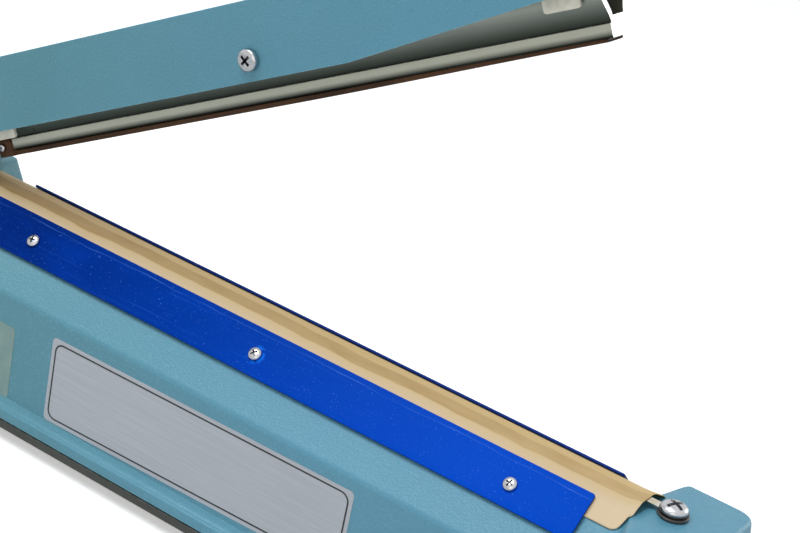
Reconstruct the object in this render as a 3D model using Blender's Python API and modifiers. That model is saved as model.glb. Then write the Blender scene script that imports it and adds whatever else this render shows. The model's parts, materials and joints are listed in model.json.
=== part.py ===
"""Hand impulse heat sealer for plastic bags, 300 mm class, as separate pieces.

Metres, +Z up. +X runs along the base from the hinge to the handle, and -Y is the front.
The origin is on the bench, under the middle of the box round the whole machine.
The arm stands open, as it rests. Heights in the code count from the bottom plate's underside,
and one empty, the stand, lifts everything by the height of the feet.
"""

import math

import bmesh
import bpy
from mathutils import Matrix, Vector

MM = 0.001

# Clearances and the overrun that every cutter has past what it cuts
GAP = 0.3 * MM
PIN_CLEARANCE = 0.3 * MM
HOLE_CLEARANCE = 0.35 * MM
OVERRUN = 3.0 * MM
JOIN = 0.6 * MM
WELD = 0.01 * MM

# Base housing. The strips set the length of the ridge, and the ridge that of the base.
STRIP_LENGTH = 300.0 * MM
STRIP_HINGE_MARGIN = 20.0 * MM
STRIP_HANDLE_MARGIN = 11.0 * MM
BODY_WIDTH = 74.0 * MM
WALL = 2.0 * MM
SKIRT_LEDGE = 4.0 * MM
SKIRT_HEIGHT = 5.0 * MM
JOGGLE_HEIGHT = 3.0 * MM
SKIRT_CORNER = 12.0 * MM
BODY_CORNER = 8.0 * MM
END_EDGE = 3.0 * MM
BEND_RADIUS = 4.0 * MM
RIDGE_EDGE = 1.0 * MM
PLATEAU_EDGE = 2.5 * MM
SLOPE = math.radians(42.0)
RIDGE_WIDTH = 21.4 * MM
RIDGE_HEIGHT = 83.0 * MM
PLATEAU_WIDTH = 52.0 * MM
PLATEAU_RISE = 1.7 * MM
PLATEAU_RAMP = 6.0 * MM
HANDLE_PLATEAU_LENGTH = 32.0 * MM
BOSS_RADIUS = 5.0 * MM
BOSS_INSET_X = 17.0 * MM
BOSS_BITE = 0.6 * MM
BOSS_FLOOR = 2.0 * MM

# Bottom plate, feet and their screws
PLATE_HEIGHT = 4.2 * MM
PLATE_FLOOR = 1.8 * MM
PLATE_RIM = 2.5 * MM
PLATE_PAD_RADIUS = 6.0 * MM
FOOT_RADIUS = 8.0 * MM
FOOT_SOLE_RADIUS = 7.0 * MM
FOOT_HEIGHT = 5.0 * MM
FOOT_FLOOR = 2.0 * MM
FOOT_POCKET_RADIUS = 4.6 * MM
PLATE_SCREW_RADIUS = 1.7 * MM
PLATE_SCREW_HEAD = 3.8 * MM
PLATE_SCREW_HEAD_HEIGHT = 2.0 * MM
PLATE_SCREW_LENGTH = 18.0 * MM

# Heating band on the ridge
INSULATOR_WIDTH = 16.0 * MM
INSULATOR_THICKNESS = 1.5 * MM
ELEMENT_WIDTH = 4.0 * MM
ELEMENT_THICKNESS = 0.3 * MM
CLOTH_THICKNESS = 0.3 * MM
CLOTH_SLACK = 0.4 * MM
CLOTH_TURN = 1.0 * MM
CLOTH_DROP = 13.5 * MM
CLOTH_END_GAP = 0.5 * MM

# Cover strips and their screws
STRIP_WIDTH = 20.0 * MM
STRIP_THICKNESS = 1.0 * MM
STRIP_OVERHANG = 0.9 * MM
STRIP_CORNER = 1.0 * MM
STRIP_FREE_CORNER = 4.0 * MM
STRIP_SCREW_INSET = 30.0 * MM
STRIP_SCREW_DROP = 1.3 * MM
STRIP_SCREW_RADIUS = 1.5 * MM
STRIP_SCREW_HEAD = 2.8 * MM
STRIP_SCREW_HEAD_HEIGHT = 1.9 * MM
STRIP_SCREW_LENGTH = 8.0 * MM

# Terminals of the heating element
HINGE_TERMINAL_INSET = 8.0 * MM
HANDLE_TERMINAL_INSET = 9.0 * MM
TERMINAL_RADIUS = 2.5 * MM
TERMINAL_HEAD = 5.5 * MM
TERMINAL_HEAD_HEIGHT = 4.2 * MM
TERMINAL_LENGTH = 20.0 * MM
BUSH_RADIUS = 6.0 * MM
BUSH_THICKNESS = 1.0 * MM
BUSH_SLEEVE_RADIUS = 3.9 * MM
BUSH_SLEEVE_LENGTH = 5.0 * MM
ELEMENT_EYE_RADIUS = 4.6 * MM
ELEMENT_RAMP = 5.0 * MM
ELEMENT_CLEARANCE = 0.6 * MM

# Hinge bracket, pin and stop
PIVOT_INSET = 49.5 * MM
OPEN_ANGLE = math.radians(28.4)
PIN_RADIUS = 3.0 * MM
PIN_HEAD_RADIUS = 4.6 * MM
PIN_HEAD_HEIGHT = 1.6 * MM
BRACKET_THICKNESS = 2.0 * MM
BRACKET_BEND = 3.0 * MM
BRACKET_BACK = 38.5 * MM
BRACKET_MARGIN = 5.5 * MM
EAR_RADIUS = 8.0 * MM
EAR_BACK = 13.0 * MM
EAR_FILLET = 4.0 * MM
BRACKET_SCREW_INSET = 6.5 * MM
BRACKET_SCREW_PITCH = 20.0 * MM
BRACKET_SCREW_RADIUS = 2.0 * MM
BRACKET_SCREW_HEAD = 3.9 * MM
BRACKET_SCREW_HEAD_HEIGHT = 2.4 * MM
BRACKET_SCREW_LENGTH = 9.0 * MM
SPACER_RADIUS = 6.0 * MM
SPACER_THICKNESS = 0.9 * MM
STOP_LENGTH = 9.0 * MM
STOP_THICKNESS = 1.8 * MM
STOP_CORNER = 1.0 * MM

# Jaw, in lengths along the arm and heights across it
JAW_HINGE_MARGIN = 10.1 * MM
JAW_HANDLE_MARGIN = 17.7 * MM
JAW_SCREW_UP = 17.6 * MM
JAW_FOOT_WIDTH = 13.0 * MM
JAW_FOOT_HEIGHT = 5.0 * MM
JAW_WIDTH = 20.0 * MM
JAW_HEIGHT = 24.0 * MM
JAW_STEP = 0.9 * MM
JAW_WALL = 1.6 * MM
JAW_FLANK_HEIGHT = 9.6 * MM
JAW_FLOOR = 7.4 * MM
JAW_SCREW_RADIUS = 2.5 * MM
JAW_SCREW_HEAD = 4.4 * MM
JAW_SCREW_HEAD_HEIGHT = 3.2 * MM
JAW_SCREW_PROUD = 0.6 * MM
JAW_NUT_RADIUS = 4.6 * MM
JAW_NUT_HEIGHT = 4.0 * MM
RUBBER_WIDTH = 10.0 * MM
RUBBER_THICKNESS = 1.5 * MM
TAPE_THICKNESS = 0.3 * MM
WRAP_LENGTH = 8.1 * MM
TAPE_SCREW_INSET = 2.5 * MM
TAPE_SCREW_UP = 1.9 * MM
TAPE_SCREW_RADIUS = 1.1 * MM
TAPE_SCREW_HEAD = 2.1 * MM
TAPE_SCREW_HEAD_HEIGHT = 1.2 * MM
TAPE_SCREW_LENGTH = 5.0 * MM
PAD_THICKNESS = 1.2 * MM
PAD_LENGTH = 14.2 * MM
PAD_CORNER = 1.5 * MM
HINGE_PAD_INSET = 8.7 * MM
HINGE_PAD_LOW = 5.4 * MM
HANDLE_PAD_INSET = 17.4 * MM
HANDLE_PAD_LOW = 12.1 * MM

# Arm cover: lengths along the arm and heights across it, both from the pivot
COVER_WALL = 1.2 * MM
COVER_TOP = 24.6 * MM
COVER_BELOW = 6.0 * MM
COVER_EDGE = 4.5 * MM
COVER_BEND_AHEAD = 45.0 * MM
COVER_RISE = math.radians(5.2)
SHOULDER_AHEAD = 3.2 * MM
SHOULDER_RADIUS = 110.0 * MM
NOSE_AHEAD = 65.2 * MM
NOSE_DROP = 5.1 * MM
NOSE_RADIUS = 4.5 * MM
TAIL = 18.0 * MM
TAIL_RADIUS = 6.0 * MM
TAIL_SLANT = 8.0 * MM
TAIL_CORNER = 7.0 * MM
TAIL_PIN_RADIUS = 2.0 * MM
TAIL_PIN_PROUD = 0.6 * MM

# Pull rod with its spring and the switch that it works
ROD_RADIUS = 2.5 * MM
ROD_HOLE_CLEARANCE = 0.8 * MM
ROD_TOP_RADIUS = 1.8 * MM
ROD_TOP_LENGTH = 2.4 * MM
ROD_END_LENGTH = 4.1 * MM
EYE_WIDTH = 8.0 * MM
EYE_LENGTH = 13.4 * MM
EYE_CORNER = 2.0 * MM
EYE_SLOT_CLEARANCE = 0.35 * MM
COLLAR_HEIGHT = 3.2 * MM
COLLAR_RADIUS = 10.5 * MM
SPRING_RADIUS = 5.2 * MM
SPRING_WIRE = 0.6 * MM
SWITCH_LENGTH = 28.0 * MM
SWITCH_HEIGHT = 16.0 * MM
SWITCH_WIDTH = 10.0 * MM
SWITCH_CLEARANCE = 1.6 * MM
SWITCH_HEADROOM = 0.6 * MM
SWITCH_EDGE = 1.0 * MM
BUTTON_TRAVEL = 0.8 * MM
BUTTON_LENGTH = 5.0 * MM
BUTTON_WIDTH = 2.4 * MM
BUTTON_PROUD = 2.6 * MM
BUTTON_HEIGHT = 5.2 * MM
BUTTON_EDGE = 0.3 * MM
SWITCH_BRACKET_THICKNESS = 1.2 * MM
SWITCH_BRACKET_LIP = 0.5 * MM
SWITCH_PLATE_LENGTH = 34.0 * MM

# Timer dial and lamp on the front
DIAL_RADIUS = 20.5 * MM
DIAL_THICKNESS = 0.8 * MM
DIAL_END_MARGIN = 3.5 * MM
DIAL_FOOT_MARGIN = 2.0 * MM
KNOB_SKIRT_RADIUS = 13.0 * MM
KNOB_SKIRT_HEIGHT = 3.0 * MM
KNOB_GRIP_RADIUS = 10.0 * MM
KNOB_TAPER = 0.8 * MM
KNOB_HEIGHT = 14.0 * MM
KNOB_TOP_THICKNESS = 4.0 * MM
KNOB_FLUTE_DEPTH = 0.5 * MM
KNOB_POCKET_CLEARANCE = 0.7 * MM
KNOB_POCKET_ROOM = 2.2 * MM
KNOB_EDGE = 0.8 * MM
SHAFT_RADIUS = 3.0 * MM
BUSHING_RADIUS = 4.5 * MM
BUSHING_LENGTH = 6.0 * MM
POT_RADIUS = 12.0 * MM
POT_DEPTH = 9.0 * MM
POT_NUT_WALL = 1.8 * MM
POT_NUT_HEIGHT = 2.0 * MM
LAMP_MARGIN = 4.3 * MM
LAMP_RADIUS = 3.6 * MM
LAMP_DOME = 3.0 * MM
LAMP_BODY_LENGTH = 14.0 * MM
BEZEL_WALL = 0.9 * MM
BEZEL_LEDGE = 0.7 * MM
BEZEL_PROUD = 1.6 * MM
BEZEL_SLEEVE_LENGTH = 8.0 * MM

# Inner parts and the outlet of the mains lead
CORE_AHEAD = 9.5 * MM
CORE_LENGTH = 66.0 * MM
CORE_HEIGHT = 55.0 * MM
CORE_STACK = 32.0 * MM
CORE_LIMB = 11.0 * MM
COIL_PROUD = 11.0 * MM
COIL_EDGE = 3.0 * MM
BOARD_AHEAD = 41.0 * MM
BOARD_LENGTH = 70.0 * MM
BOARD_WIDTH = 46.0 * MM
BOARD_THICKNESS = 1.6 * MM
BOARD_PEG_HEIGHT = 8.0 * MM
BOARD_PEG_RADIUS = 3.0 * MM
BOARD_PEG_INSET = 5.0 * MM
RELAY_SIZE = (19.0 * MM, 15.5 * MM, 15.0 * MM)
RELAY_PLACE_SHARES = (-0.28, 0.2)
CAPACITOR_RADIUS = 5.0 * MM
CAPACITOR_HEIGHT = 18.0 * MM
CAPACITOR_PLACE_SHARES = ((0.06, 0.24), (0.28, 0.24))
BLOCK_SIZE = (24.0 * MM, 8.0 * MM, 10.0 * MM)
BLOCK_PLACE_SHARES = (0.1, -0.32)
OUTLET_Z = 26.0 * MM
OUTLET_BORE = 3.6 * MM
OUTLET_GROOVE = 6.3 * MM
OUTLET_FLANGE = 9.0 * MM
OUTLET_FLANGE_THICKNESS = 2.6 * MM
OUTLET_INNER_THICKNESS = 2.2 * MM
OUTLET_EDGE = 0.8 * MM

# Counts and angles of the facets
RAMP_STEPS = 4
ARC_STEPS = 4
BEND_STEPS = 3
FLANK_STEPS = 6
SLOT_STEPS = 6
END_STEP_SHARES = (0.0, 0.05, 0.16, 0.32, 0.6, 1.0)
SPRING_TURNS = 8
SPRING_POINTS = 8
KNOB_FLUTES = 12
KNOB_POINTS = 48

# Fastener proportions
CROSS_LENGTH_SHARE = 0.56
CROSS_WIDTH_SHARE = 0.17
CROSS_DEPTH_SHARE = 0.5
HEAD_RIM_SHARE = 0.55
SCREW_SIDES = 10
BIG_SCREW_SIDES = 16
HOLE_SIDES = 10
ROUND_SIDES = 20
FINE_SIDES = 36
SMOOTH_ANGLE = math.radians(35.0)

# Sizes that follow from the ones above
RIDGE_LENGTH = STRIP_LENGTH + STRIP_HINGE_MARGIN + STRIP_HANDLE_MARGIN
HINGE_END_LENGTH = PIVOT_INSET + EAR_RADIUS + BRACKET_MARGIN
HANDLE_END_LENGTH = PLATEAU_RAMP + HANDLE_PLATEAU_LENGTH
BODY_LENGTH = HINGE_END_LENGTH + RIDGE_LENGTH + HANDLE_END_LENGTH
BASE_LENGTH = BODY_LENGTH + 2 * SKIRT_LEDGE
BASE_END = BASE_LENGTH / 2
BODY_END = BODY_LENGTH / 2
BODY_HALF = BODY_WIDTH / 2
SKIRT_HALF = BODY_HALF + SKIRT_LEDGE
RIDGE_HALF = RIDGE_WIDTH / 2
PLATEAU_HALF = PLATEAU_WIDTH / 2
INNER_HALF = BODY_HALF - WALL
INNER_END = BODY_END - WALL
RIDGE_START = -BODY_END + HINGE_END_LENGTH
RIDGE_END = BODY_END - HANDLE_END_LENGTH
SKIRT_BOTTOM = PLATE_HEIGHT + GAP
SKIRT_TOP = SKIRT_BOTTOM + SKIRT_HEIGHT
JOGGLE_TOP = SKIRT_TOP + JOGGLE_HEIGHT
PLATEAU_HEIGHT = RIDGE_HEIGHT + PLATEAU_RISE
PLATEAU_UNDER = PLATEAU_HEIGHT - WALL
BEND_Z = RIDGE_HEIGHT - (BODY_HALF - RIDGE_HALF) * math.tan(SLOPE)
BOSS_X = BASE_END - BOSS_INSET_X
BOSS_Y = INNER_HALF + BOSS_BITE - BOSS_RADIUS
BOSS_TOP = PLATE_SCREW_LENGTH + BOSS_FLOOR
INSULATOR_Z = RIDGE_HEIGHT + GAP
ELEMENT_Z = INSULATOR_Z + INSULATOR_THICKNESS + GAP
CLOTH_Z = ELEMENT_Z + ELEMENT_THICKNESS + GAP
CLOTH_TOP_Z = CLOTH_Z + CLOTH_THICKNESS
CLOTH_START_X = RIDGE_START + CLOTH_END_GAP
CLOTH_END_X = RIDGE_END - CLOTH_END_GAP
CLOTH_TOP_HALF = INSULATOR_WIDTH / 2 + CLOTH_SLACK
CLOTH_SEAT = GAP + CLOTH_THICKNESS / 2
STRIP_SEAT = GAP + CLOTH_THICKNESS + GAP
STRIP_MIDDLE = STRIP_OVERHANG - STRIP_WIDTH / 2
STRIP_SCREW_UP = STRIP_MIDDLE - STRIP_SCREW_DROP
STRIP_X = RIDGE_START + STRIP_HINGE_MARGIN + STRIP_LENGTH / 2
STRIP_SCREW_PITCH = STRIP_LENGTH / 2 - STRIP_SCREW_INSET
PIVOT_X = -BODY_END + PIVOT_INSET
HINGE_TERMINAL_X = RIDGE_START - PLATEAU_RAMP - HINGE_TERMINAL_INSET
HANDLE_TERMINAL_X = RIDGE_END + PLATEAU_RAMP + HANDLE_TERMINAL_INSET
BUSH_Z = PLATEAU_HEIGHT + GAP
EYE_Z = BUSH_Z + BUSH_THICKNESS + GAP
TERMINAL_Z = EYE_Z + ELEMENT_THICKNESS + GAP
BRACKET_Z = PLATEAU_HEIGHT + GAP
BRACKET_TOP = BRACKET_Z + BRACKET_THICKNESS
BRACKET_SCREW_BACK = BRACKET_BACK - BRACKET_SCREW_INSET
COVER_WIDTH = JAW_WIDTH + 2 * (GAP + PAD_THICKNESS + GAP + COVER_WALL)
COVER_HALF = COVER_WIDTH / 2
BRACKET_INNER_HALF = COVER_HALF + GAP + SPACER_THICKNESS + GAP
BRACKET_HALF = BRACKET_INNER_HALF + BRACKET_THICKNESS
TAIL_TRAVEL_X = TAIL * (1 - math.cos(OPEN_ANGLE))
TAIL_TRAVEL_Z = TAIL * math.sin(OPEN_ANGLE)
STOP_TOP = BRACKET_TOP + GAP + STOP_THICKNESS
TAIL_OPEN_Z = STOP_TOP + GAP + TAIL_RADIUS
PIVOT_Z = TAIL_OPEN_Z + TAIL_TRAVEL_Z
TAIL_OPEN_X = PIVOT_X - TAIL * math.cos(OPEN_ANGLE)
ROD_X = TAIL_OPEN_X - TAIL_TRAVEL_X / 2
TAPE_BOTTOM = CLOTH_TOP_Z + GAP - PIVOT_Z
TAPE_FLOOR = TAPE_BOTTOM + TAPE_THICKNESS
RUBBER_BOTTOM = TAPE_FLOOR + GAP
JAW_BOTTOM = RUBBER_BOTTOM + RUBBER_THICKNESS + GAP
JAW_START = RIDGE_START - PIVOT_X + JAW_HINGE_MARGIN
JAW_END = RIDGE_END - PIVOT_X - JAW_HANDLE_MARGIN
JAW_SCREW_ALONG = (JAW_START + JAW_END) / 2
JAW_SCREW_N = JAW_BOTTOM + JAW_SCREW_UP
COVER_BEND = JAW_SCREW_ALONG + COVER_BEND_AHEAD
COVER_SHOULDER = JAW_END + SHOULDER_AHEAD
NOSE_END = JAW_END + NOSE_AHEAD
NOSE_TOP = COVER_TOP - NOSE_DROP
EYE_HEIGHT = 2 * (TAIL_RADIUS - GAP)
BRACKET_SCREW_SEAT = BRACKET_TOP + GAP
SWITCH_TOP = BRACKET_SCREW_SEAT - BRACKET_SCREW_LENGTH - SWITCH_HEADROOM
SWITCH_LOW = SWITCH_TOP - SWITCH_HEIGHT
BUTTON_LOW = SWITCH_LOW + GAP - BUTTON_PROUD
COLLAR_TOP = BUTTON_LOW + BUTTON_TRAVEL - TAIL_TRAVEL_Z - GAP
COLLAR_Z = COLLAR_TOP - COLLAR_HEIGHT
ROD_FOOT_Z = COLLAR_Z - ROD_END_LENGTH
SWITCH_FRONT_Y = SPRING_RADIUS + SPRING_WIRE + SWITCH_CLEARANCE
SWITCH_BRACKET_FRONT_Y = SWITCH_FRONT_Y - SWITCH_BRACKET_LIP
DIAL_X = -BODY_END + BODY_CORNER + DIAL_END_MARGIN + DIAL_RADIUS
DIAL_Z = JOGGLE_TOP + DIAL_FOOT_MARGIN + DIAL_RADIUS
DIAL_FACE = BODY_HALF + GAP + DIAL_THICKNESS
POT_SEAT = INNER_HALF - GAP
POT_NUT_RADIUS = BUSHING_RADIUS + POT_NUT_WALL
KNOB_BACK = DIAL_FACE + GAP
KNOB_TOP_RADIUS = KNOB_GRIP_RADIUS - KNOB_TAPER
KNOB_BORE_DEPTH = KNOB_HEIGHT - KNOB_TOP_THICKNESS
KNOB_POCKET_RADIUS = POT_NUT_RADIUS + KNOB_POCKET_CLEARANCE
KNOB_POCKET_DEPTH = POT_SEAT + BUSHING_LENGTH + KNOB_POCKET_ROOM - KNOB_BACK
BEZEL_SLEEVE_RADIUS = LAMP_RADIUS + BEZEL_WALL
BEZEL_RADIUS = BEZEL_SLEEVE_RADIUS + BEZEL_LEDGE
LAMP_X = DIAL_X + DIAL_RADIUS + LAMP_MARGIN + BEZEL_RADIUS
LAMP_Z = DIAL_Z
CORE_X = (RIDGE_START + RIDGE_END) / 2 + CORE_AHEAD
BOARD_X = RIDGE_START + BOARD_AHEAD
BOARD_Z = PLATE_FLOOR + BOARD_PEG_HEIGHT + GAP
STAND_Y = (KNOB_BACK + KNOB_HEIGHT - SKIRT_HALF) / 2
STAND_Z = GAP + FOOT_HEIGHT

ALONG_Y = Matrix(((1, 0, 0, 0), (0, 0, -1, 0), (0, 1, 0, 0), (0, 0, 0, 1)))
ALONG_X = Matrix(((0, 0, 1, 0), (1, 0, 0, 0), (0, 1, 0, 0), (0, 0, 0, 1)))


def clear_scene():
    for item in list(bpy.data.objects):
        bpy.data.objects.remove(item, do_unlink=True)


clear_scene()
PARTS = bpy.data.collections.new("heat_sealer")
CUTTERS = bpy.data.collections.new("heat_sealer_cutters")
bpy.context.scene.collection.children.link(PARTS)
bpy.context.scene.collection.children.link(CUTTERS)
STAND = bpy.data.objects.new("stand", None)
STAND.location = (0, STAND_Y, STAND_Z)
PARTS.objects.link(STAND)


def material(name, color, roughness, metallic=0.0):
    """One Principled material, with the colour as it looks on the part."""
    made = bpy.data.materials.new(name)
    made.use_nodes = True
    shader = made.node_tree.nodes["Principled BSDF"]
    shader.inputs["Base Color"].default_value = (*color, 1.0)
    shader.inputs["Roughness"].default_value = roughness
    shader.inputs["Metallic"].default_value = metallic
    made.diffuse_color = (*color, 1.0)
    return made


PAINT = material("blue_green_paint", (0.10, 0.30, 0.38), 0.45)
PLATE_PAINT = material("dark_plate_paint", (0.05, 0.055, 0.05), 0.5)
FILM_BLUE = material("glossy_blue_strip", (0.0, 0.035, 0.42), 0.2)
CLOTH_TAN = material("tan_coated_cloth", (0.50, 0.34, 0.16), 0.5)
TAPE_BROWN = material("brown_coated_tape", (0.12, 0.05, 0.025), 0.5)
RUBBER_BLACK = material("black_rubber", (0.02, 0.02, 0.02), 0.8)
SILICONE = material("brown_silicone", (0.16, 0.07, 0.04), 0.7)
ALUMINIUM = material("bare_aluminium", (0.45, 0.45, 0.42), 0.4, 1.0)
STEEL = material("bright_steel", (0.62, 0.62, 0.64), 0.22, 1.0)
NYLON = material("white_nylon", (0.80, 0.80, 0.76), 0.4)
KNOB_BLACK = material("black_knob_plastic", (0.02, 0.02, 0.022), 0.35)
DIAL_SILVER = material("silver_dial", (0.55, 0.56, 0.58), 0.4)
LAMP_RED = material("red_lens", (0.7, 0.02, 0.02), 0.15)
IRON = material("laminated_iron", (0.12, 0.12, 0.13), 0.5, 0.6)
WINDING = material("taped_winding", (0.55, 0.42, 0.10), 0.5)
BOARD_GREEN = material("circuit_board", (0.04, 0.16, 0.07), 0.5)
BAKELITE = material("dark_bakelite", (0.05, 0.03, 0.02), 0.4)
MICA = material("insulating_board", (0.60, 0.55, 0.45), 0.6)
NICHROME = material("heating_ribbon", (0.50, 0.48, 0.45), 0.3, 1.0)


def finish_mesh(mesh, paint):
    mesh.materials.clear()
    mesh.materials.append(paint)
    mesh.shade_smooth()
    mesh.set_sharp_from_angle(angle=SMOOTH_ANGLE)


def add_part(name, mesh, paint, location=(0, 0, 0), rotation=(0, 0, 0), parent=None):
    """Link a mesh as one named sub-part."""
    finish_mesh(mesh, paint)
    part = bpy.data.objects.new(name, mesh)
    part.location = location
    part.rotation_euler = rotation
    part.parent = parent or STAND
    PARTS.objects.link(part)
    return part


def add_cutter(name, mesh, location=(0, 0, 0), rotation=(0, 0, 0), parent=None):
    """Link a mesh as a guide solid that modifiers use and nothing shows."""
    cutter = bpy.data.objects.new(name, mesh)
    cutter.location = location
    cutter.rotation_euler = rotation
    cutter.parent = parent or STAND
    cutter.hide_render = True
    cutter.display_type = "WIRE"
    CUTTERS.objects.link(cutter)
    return cutter


def boolean(part, other, operation):
    step = part.modifiers.new(other.name, "BOOLEAN")
    step.operation = operation
    step.object = other
    step.solver = "EXACT"


def cut(part, cutter):
    boolean(part, cutter, "DIFFERENCE")


def join(part, other):
    boolean(part, other, "UNION")


def thicken(part, thickness, offset):
    step = part.modifiers.new("wall", "SOLIDIFY")
    step.thickness = thickness
    step.offset = offset
    step.use_even_offset = True
    step.use_quality_normals = True


def mesh_from(shape, name):
    mesh = bpy.data.meshes.new(name)
    bmesh.ops.recalc_face_normals(shape, faces=shape.faces)
    shape.to_mesh(mesh)
    shape.free()
    return mesh


def evaluated_mesh(obj, name):
    """The mesh that an object's modifiers give, with the object removed."""
    bpy.context.view_layer.update()
    graph = bpy.context.evaluated_depsgraph_get()
    mesh = bpy.data.meshes.new_from_object(obj.evaluated_get(graph))
    mesh.name = name
    bpy.data.objects.remove(obj, do_unlink=True)
    return mesh


def weld(mesh):
    shape = bmesh.new()
    shape.from_mesh(mesh)
    bmesh.ops.remove_doubles(shape, verts=shape.verts, dist=WELD)
    bmesh.ops.recalc_face_normals(shape, faces=shape.faces)
    shape.to_mesh(mesh)
    shape.free()


def box_mesh(name, low, high):
    """A box between two corners."""
    shape = bmesh.new()
    bmesh.ops.create_cube(shape, size=1.0)
    size = [b - a for a, b in zip(low, high)]
    middle = [(a + b) / 2 for a, b in zip(low, high)]
    place = Matrix.Translation(middle) @ Matrix.Diagonal((*size, 1.0))
    bmesh.ops.transform(shape, matrix=place, verts=shape.verts)
    return mesh_from(shape, name)


def soft_box(name, low, high, edge):
    """A box whose edges are rounded."""
    shape = bmesh.new()
    shape.from_mesh(box_mesh(name, low, high))
    bmesh.ops.bevel(shape, geom=shape.edges, offset=edge, segments=2, profile=0.5, affect="EDGES")
    return mesh_from(shape, name)


def cylinder_mesh(name, radius, low, high, sides=ROUND_SIDES):
    """A cylinder along Z from low to high."""
    shape = bmesh.new()
    bmesh.ops.create_cone(
        shape, cap_ends=True, segments=sides, radius1=radius, radius2=radius, depth=high - low
    )
    bmesh.ops.translate(shape, verts=shape.verts, vec=(0, 0, (low + high) / 2))
    return mesh_from(shape, name)


def turned_mesh(name, profile, sides=ROUND_SIDES):
    """A turned solid about Z: the profile runs down the outer side, radius first."""
    shape = bmesh.new()
    points = [shape.verts.new((radius, 0, height)) for radius, height in profile]
    for first, second in zip(points, points[1:]):
        shape.edges.new((first, second))
    line = bpy.data.meshes.new(name)
    shape.to_mesh(line)
    shape.free()
    holder = bpy.data.objects.new(name, line)
    CUTTERS.objects.link(holder)
    step = holder.modifiers.new("turn", "SCREW")
    step.axis = "Z"
    step.angle = math.tau
    step.steps = sides
    step.render_steps = sides
    step.use_merge_vertices = True
    step.merge_threshold = WELD
    mesh = evaluated_mesh(holder, name)
    weld(mesh)
    return mesh


def outline_mesh(name, loops, low, high, turn=None):
    """A flat outline with straight sides from low to high; loops after the first are holes."""
    curve = bpy.data.curves.new(name, "CURVE")
    curve.dimensions = "2D"
    curve.fill_mode = "BOTH"
    curve.extrude = (high - low) / 2
    for loop in loops:
        spline = curve.splines.new("POLY")
        spline.points.add(len(loop) - 1)
        for point, (u, v) in zip(spline.points, loop):
            point.co = (u, v, 0, 1)
        spline.use_cyclic_u = True
    holder = bpy.data.objects.new(name, curve)
    CUTTERS.objects.link(holder)
    mesh = evaluated_mesh(holder, name)
    mesh.transform(Matrix.Translation((0, 0, (low + high) / 2)))
    if turn is not None:
        mesh.transform(turn)
    weld(mesh)
    return mesh


def stacked_mesh(name, rings, turn=None):
    """A solid whose outlines, with as many points each, lie one above the other."""
    shape = bmesh.new()
    layers = []
    for outline, height in rings:
        layers.append([shape.verts.new((u, v, height)) for u, v in outline])
    for lower, upper in zip(layers, layers[1:]):
        for i in range(len(lower)):
            j = (i + 1) % len(lower)
            shape.faces.new((lower[i], lower[j], upper[j], upper[i]))
    shape.faces.new(layers[0])
    shape.faces.new(layers[-1])
    mesh = mesh_from(shape, name)
    if turn is not None:
        mesh.transform(turn)
    return mesh


def circle(radius, sides=ROUND_SIDES, centre=(0, 0)):
    """Points of a circle."""
    turn = math.tau / sides
    return [
        (centre[0] + radius * math.cos(i * turn), centre[1] + radius * math.sin(i * turn))
        for i in range(sides)
    ]


def arc(centre, radius, start, stop, steps):
    """Points along an arc, both ends included."""
    points = []
    for i in range(steps + 1):
        angle = start + (stop - start) * i / steps
        points.append((centre[0] + radius * math.cos(angle), centre[1] + radius * math.sin(angle)))
    return points


def rounded_corner(before, corner, after, radius, steps=ARC_STEPS):
    """The arc that replaces one corner of an outline."""
    corner = Vector(corner)
    back = (Vector(before) - corner).normalized()
    ahead = (Vector(after) - corner).normalized()
    half = back.angle(ahead) / 2
    start = corner + back * radius / math.tan(half)
    middle = corner + (back + ahead).normalized() * radius / math.sin(half)
    spoke = start - middle
    sweep = math.pi - 2 * half
    if back.x * ahead.y - back.y * ahead.x > 0:
        sweep = -sweep
    points = []
    for i in range(steps + 1):
        points.append(tuple(middle + Matrix.Rotation(sweep * i / steps, 2) @ spoke))
    return points


def rounded_outline(corners, steps=ARC_STEPS):
    """A closed outline from (u, v, radius) corners."""
    outline = []
    count = len(corners)
    for i, (u, v, radius) in enumerate(corners):
        before = corners[i - 1][:2]
        after = corners[(i + 1) % count][:2]
        if radius == 0:
            outline.append((u, v))
        else:
            outline.extend(rounded_corner(before, (u, v), after, radius, steps))
    return outline


def rounded_rectangle(half_u, half_v, radius, steps=ARC_STEPS, centre=(0, 0)):
    corners = []
    for sign_u, sign_v in ((-1, -1), (1, -1), (1, 1), (-1, 1)):
        u = centre[0] + sign_u * half_u
        v = centre[1] + sign_v * half_v
        corners.append((u, v, radius))
    return rounded_outline(corners, steps)


def screw_mesh(name, radius, head_radius, head_height, length, sides=SCREW_SIDES):
    """A pan head screw with a cross recess; the head sits on Z=0 and the shank goes down."""
    rim = head_height * HEAD_RIM_SHARE
    profile = [
        (0, head_height),
        (head_radius, rim),
        (head_radius, 0),
        (radius, 0),
        (radius, radius - length),
        (0, -length),
    ]
    holder = add_cutter(name, turned_mesh(name, profile, sides))
    arm = head_radius * CROSS_LENGTH_SHARE
    half = head_radius * CROSS_WIDTH_SHARE
    plus = [
        (half, half), (half, arm), (-half, arm), (-half, half), (-arm, half), (-arm, -half),
        (-half, -half), (-half, -arm), (half, -arm), (half, -half), (arm, -half), (arm, half),
    ]
    depth = head_height * CROSS_DEPTH_SHARE
    top = head_height + OVERRUN
    between = (0, 0, math.pi / sides)
    recess = outline_mesh(name, [plus], head_height - depth, top)
    cross = add_cutter(name + "_cross", recess, (0, 0, 0), between)
    cut(holder, cross)
    mesh = evaluated_mesh(holder, name)
    bpy.data.objects.remove(cross, do_unlink=True)
    weld(mesh)
    return mesh


def hexagon_ring(name, radius, bore, low, high):
    """A plain hexagon nut about Z."""
    return outline_mesh(name, [circle(radius, 6), circle(bore, SCREW_SIDES)], low, high)


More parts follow.
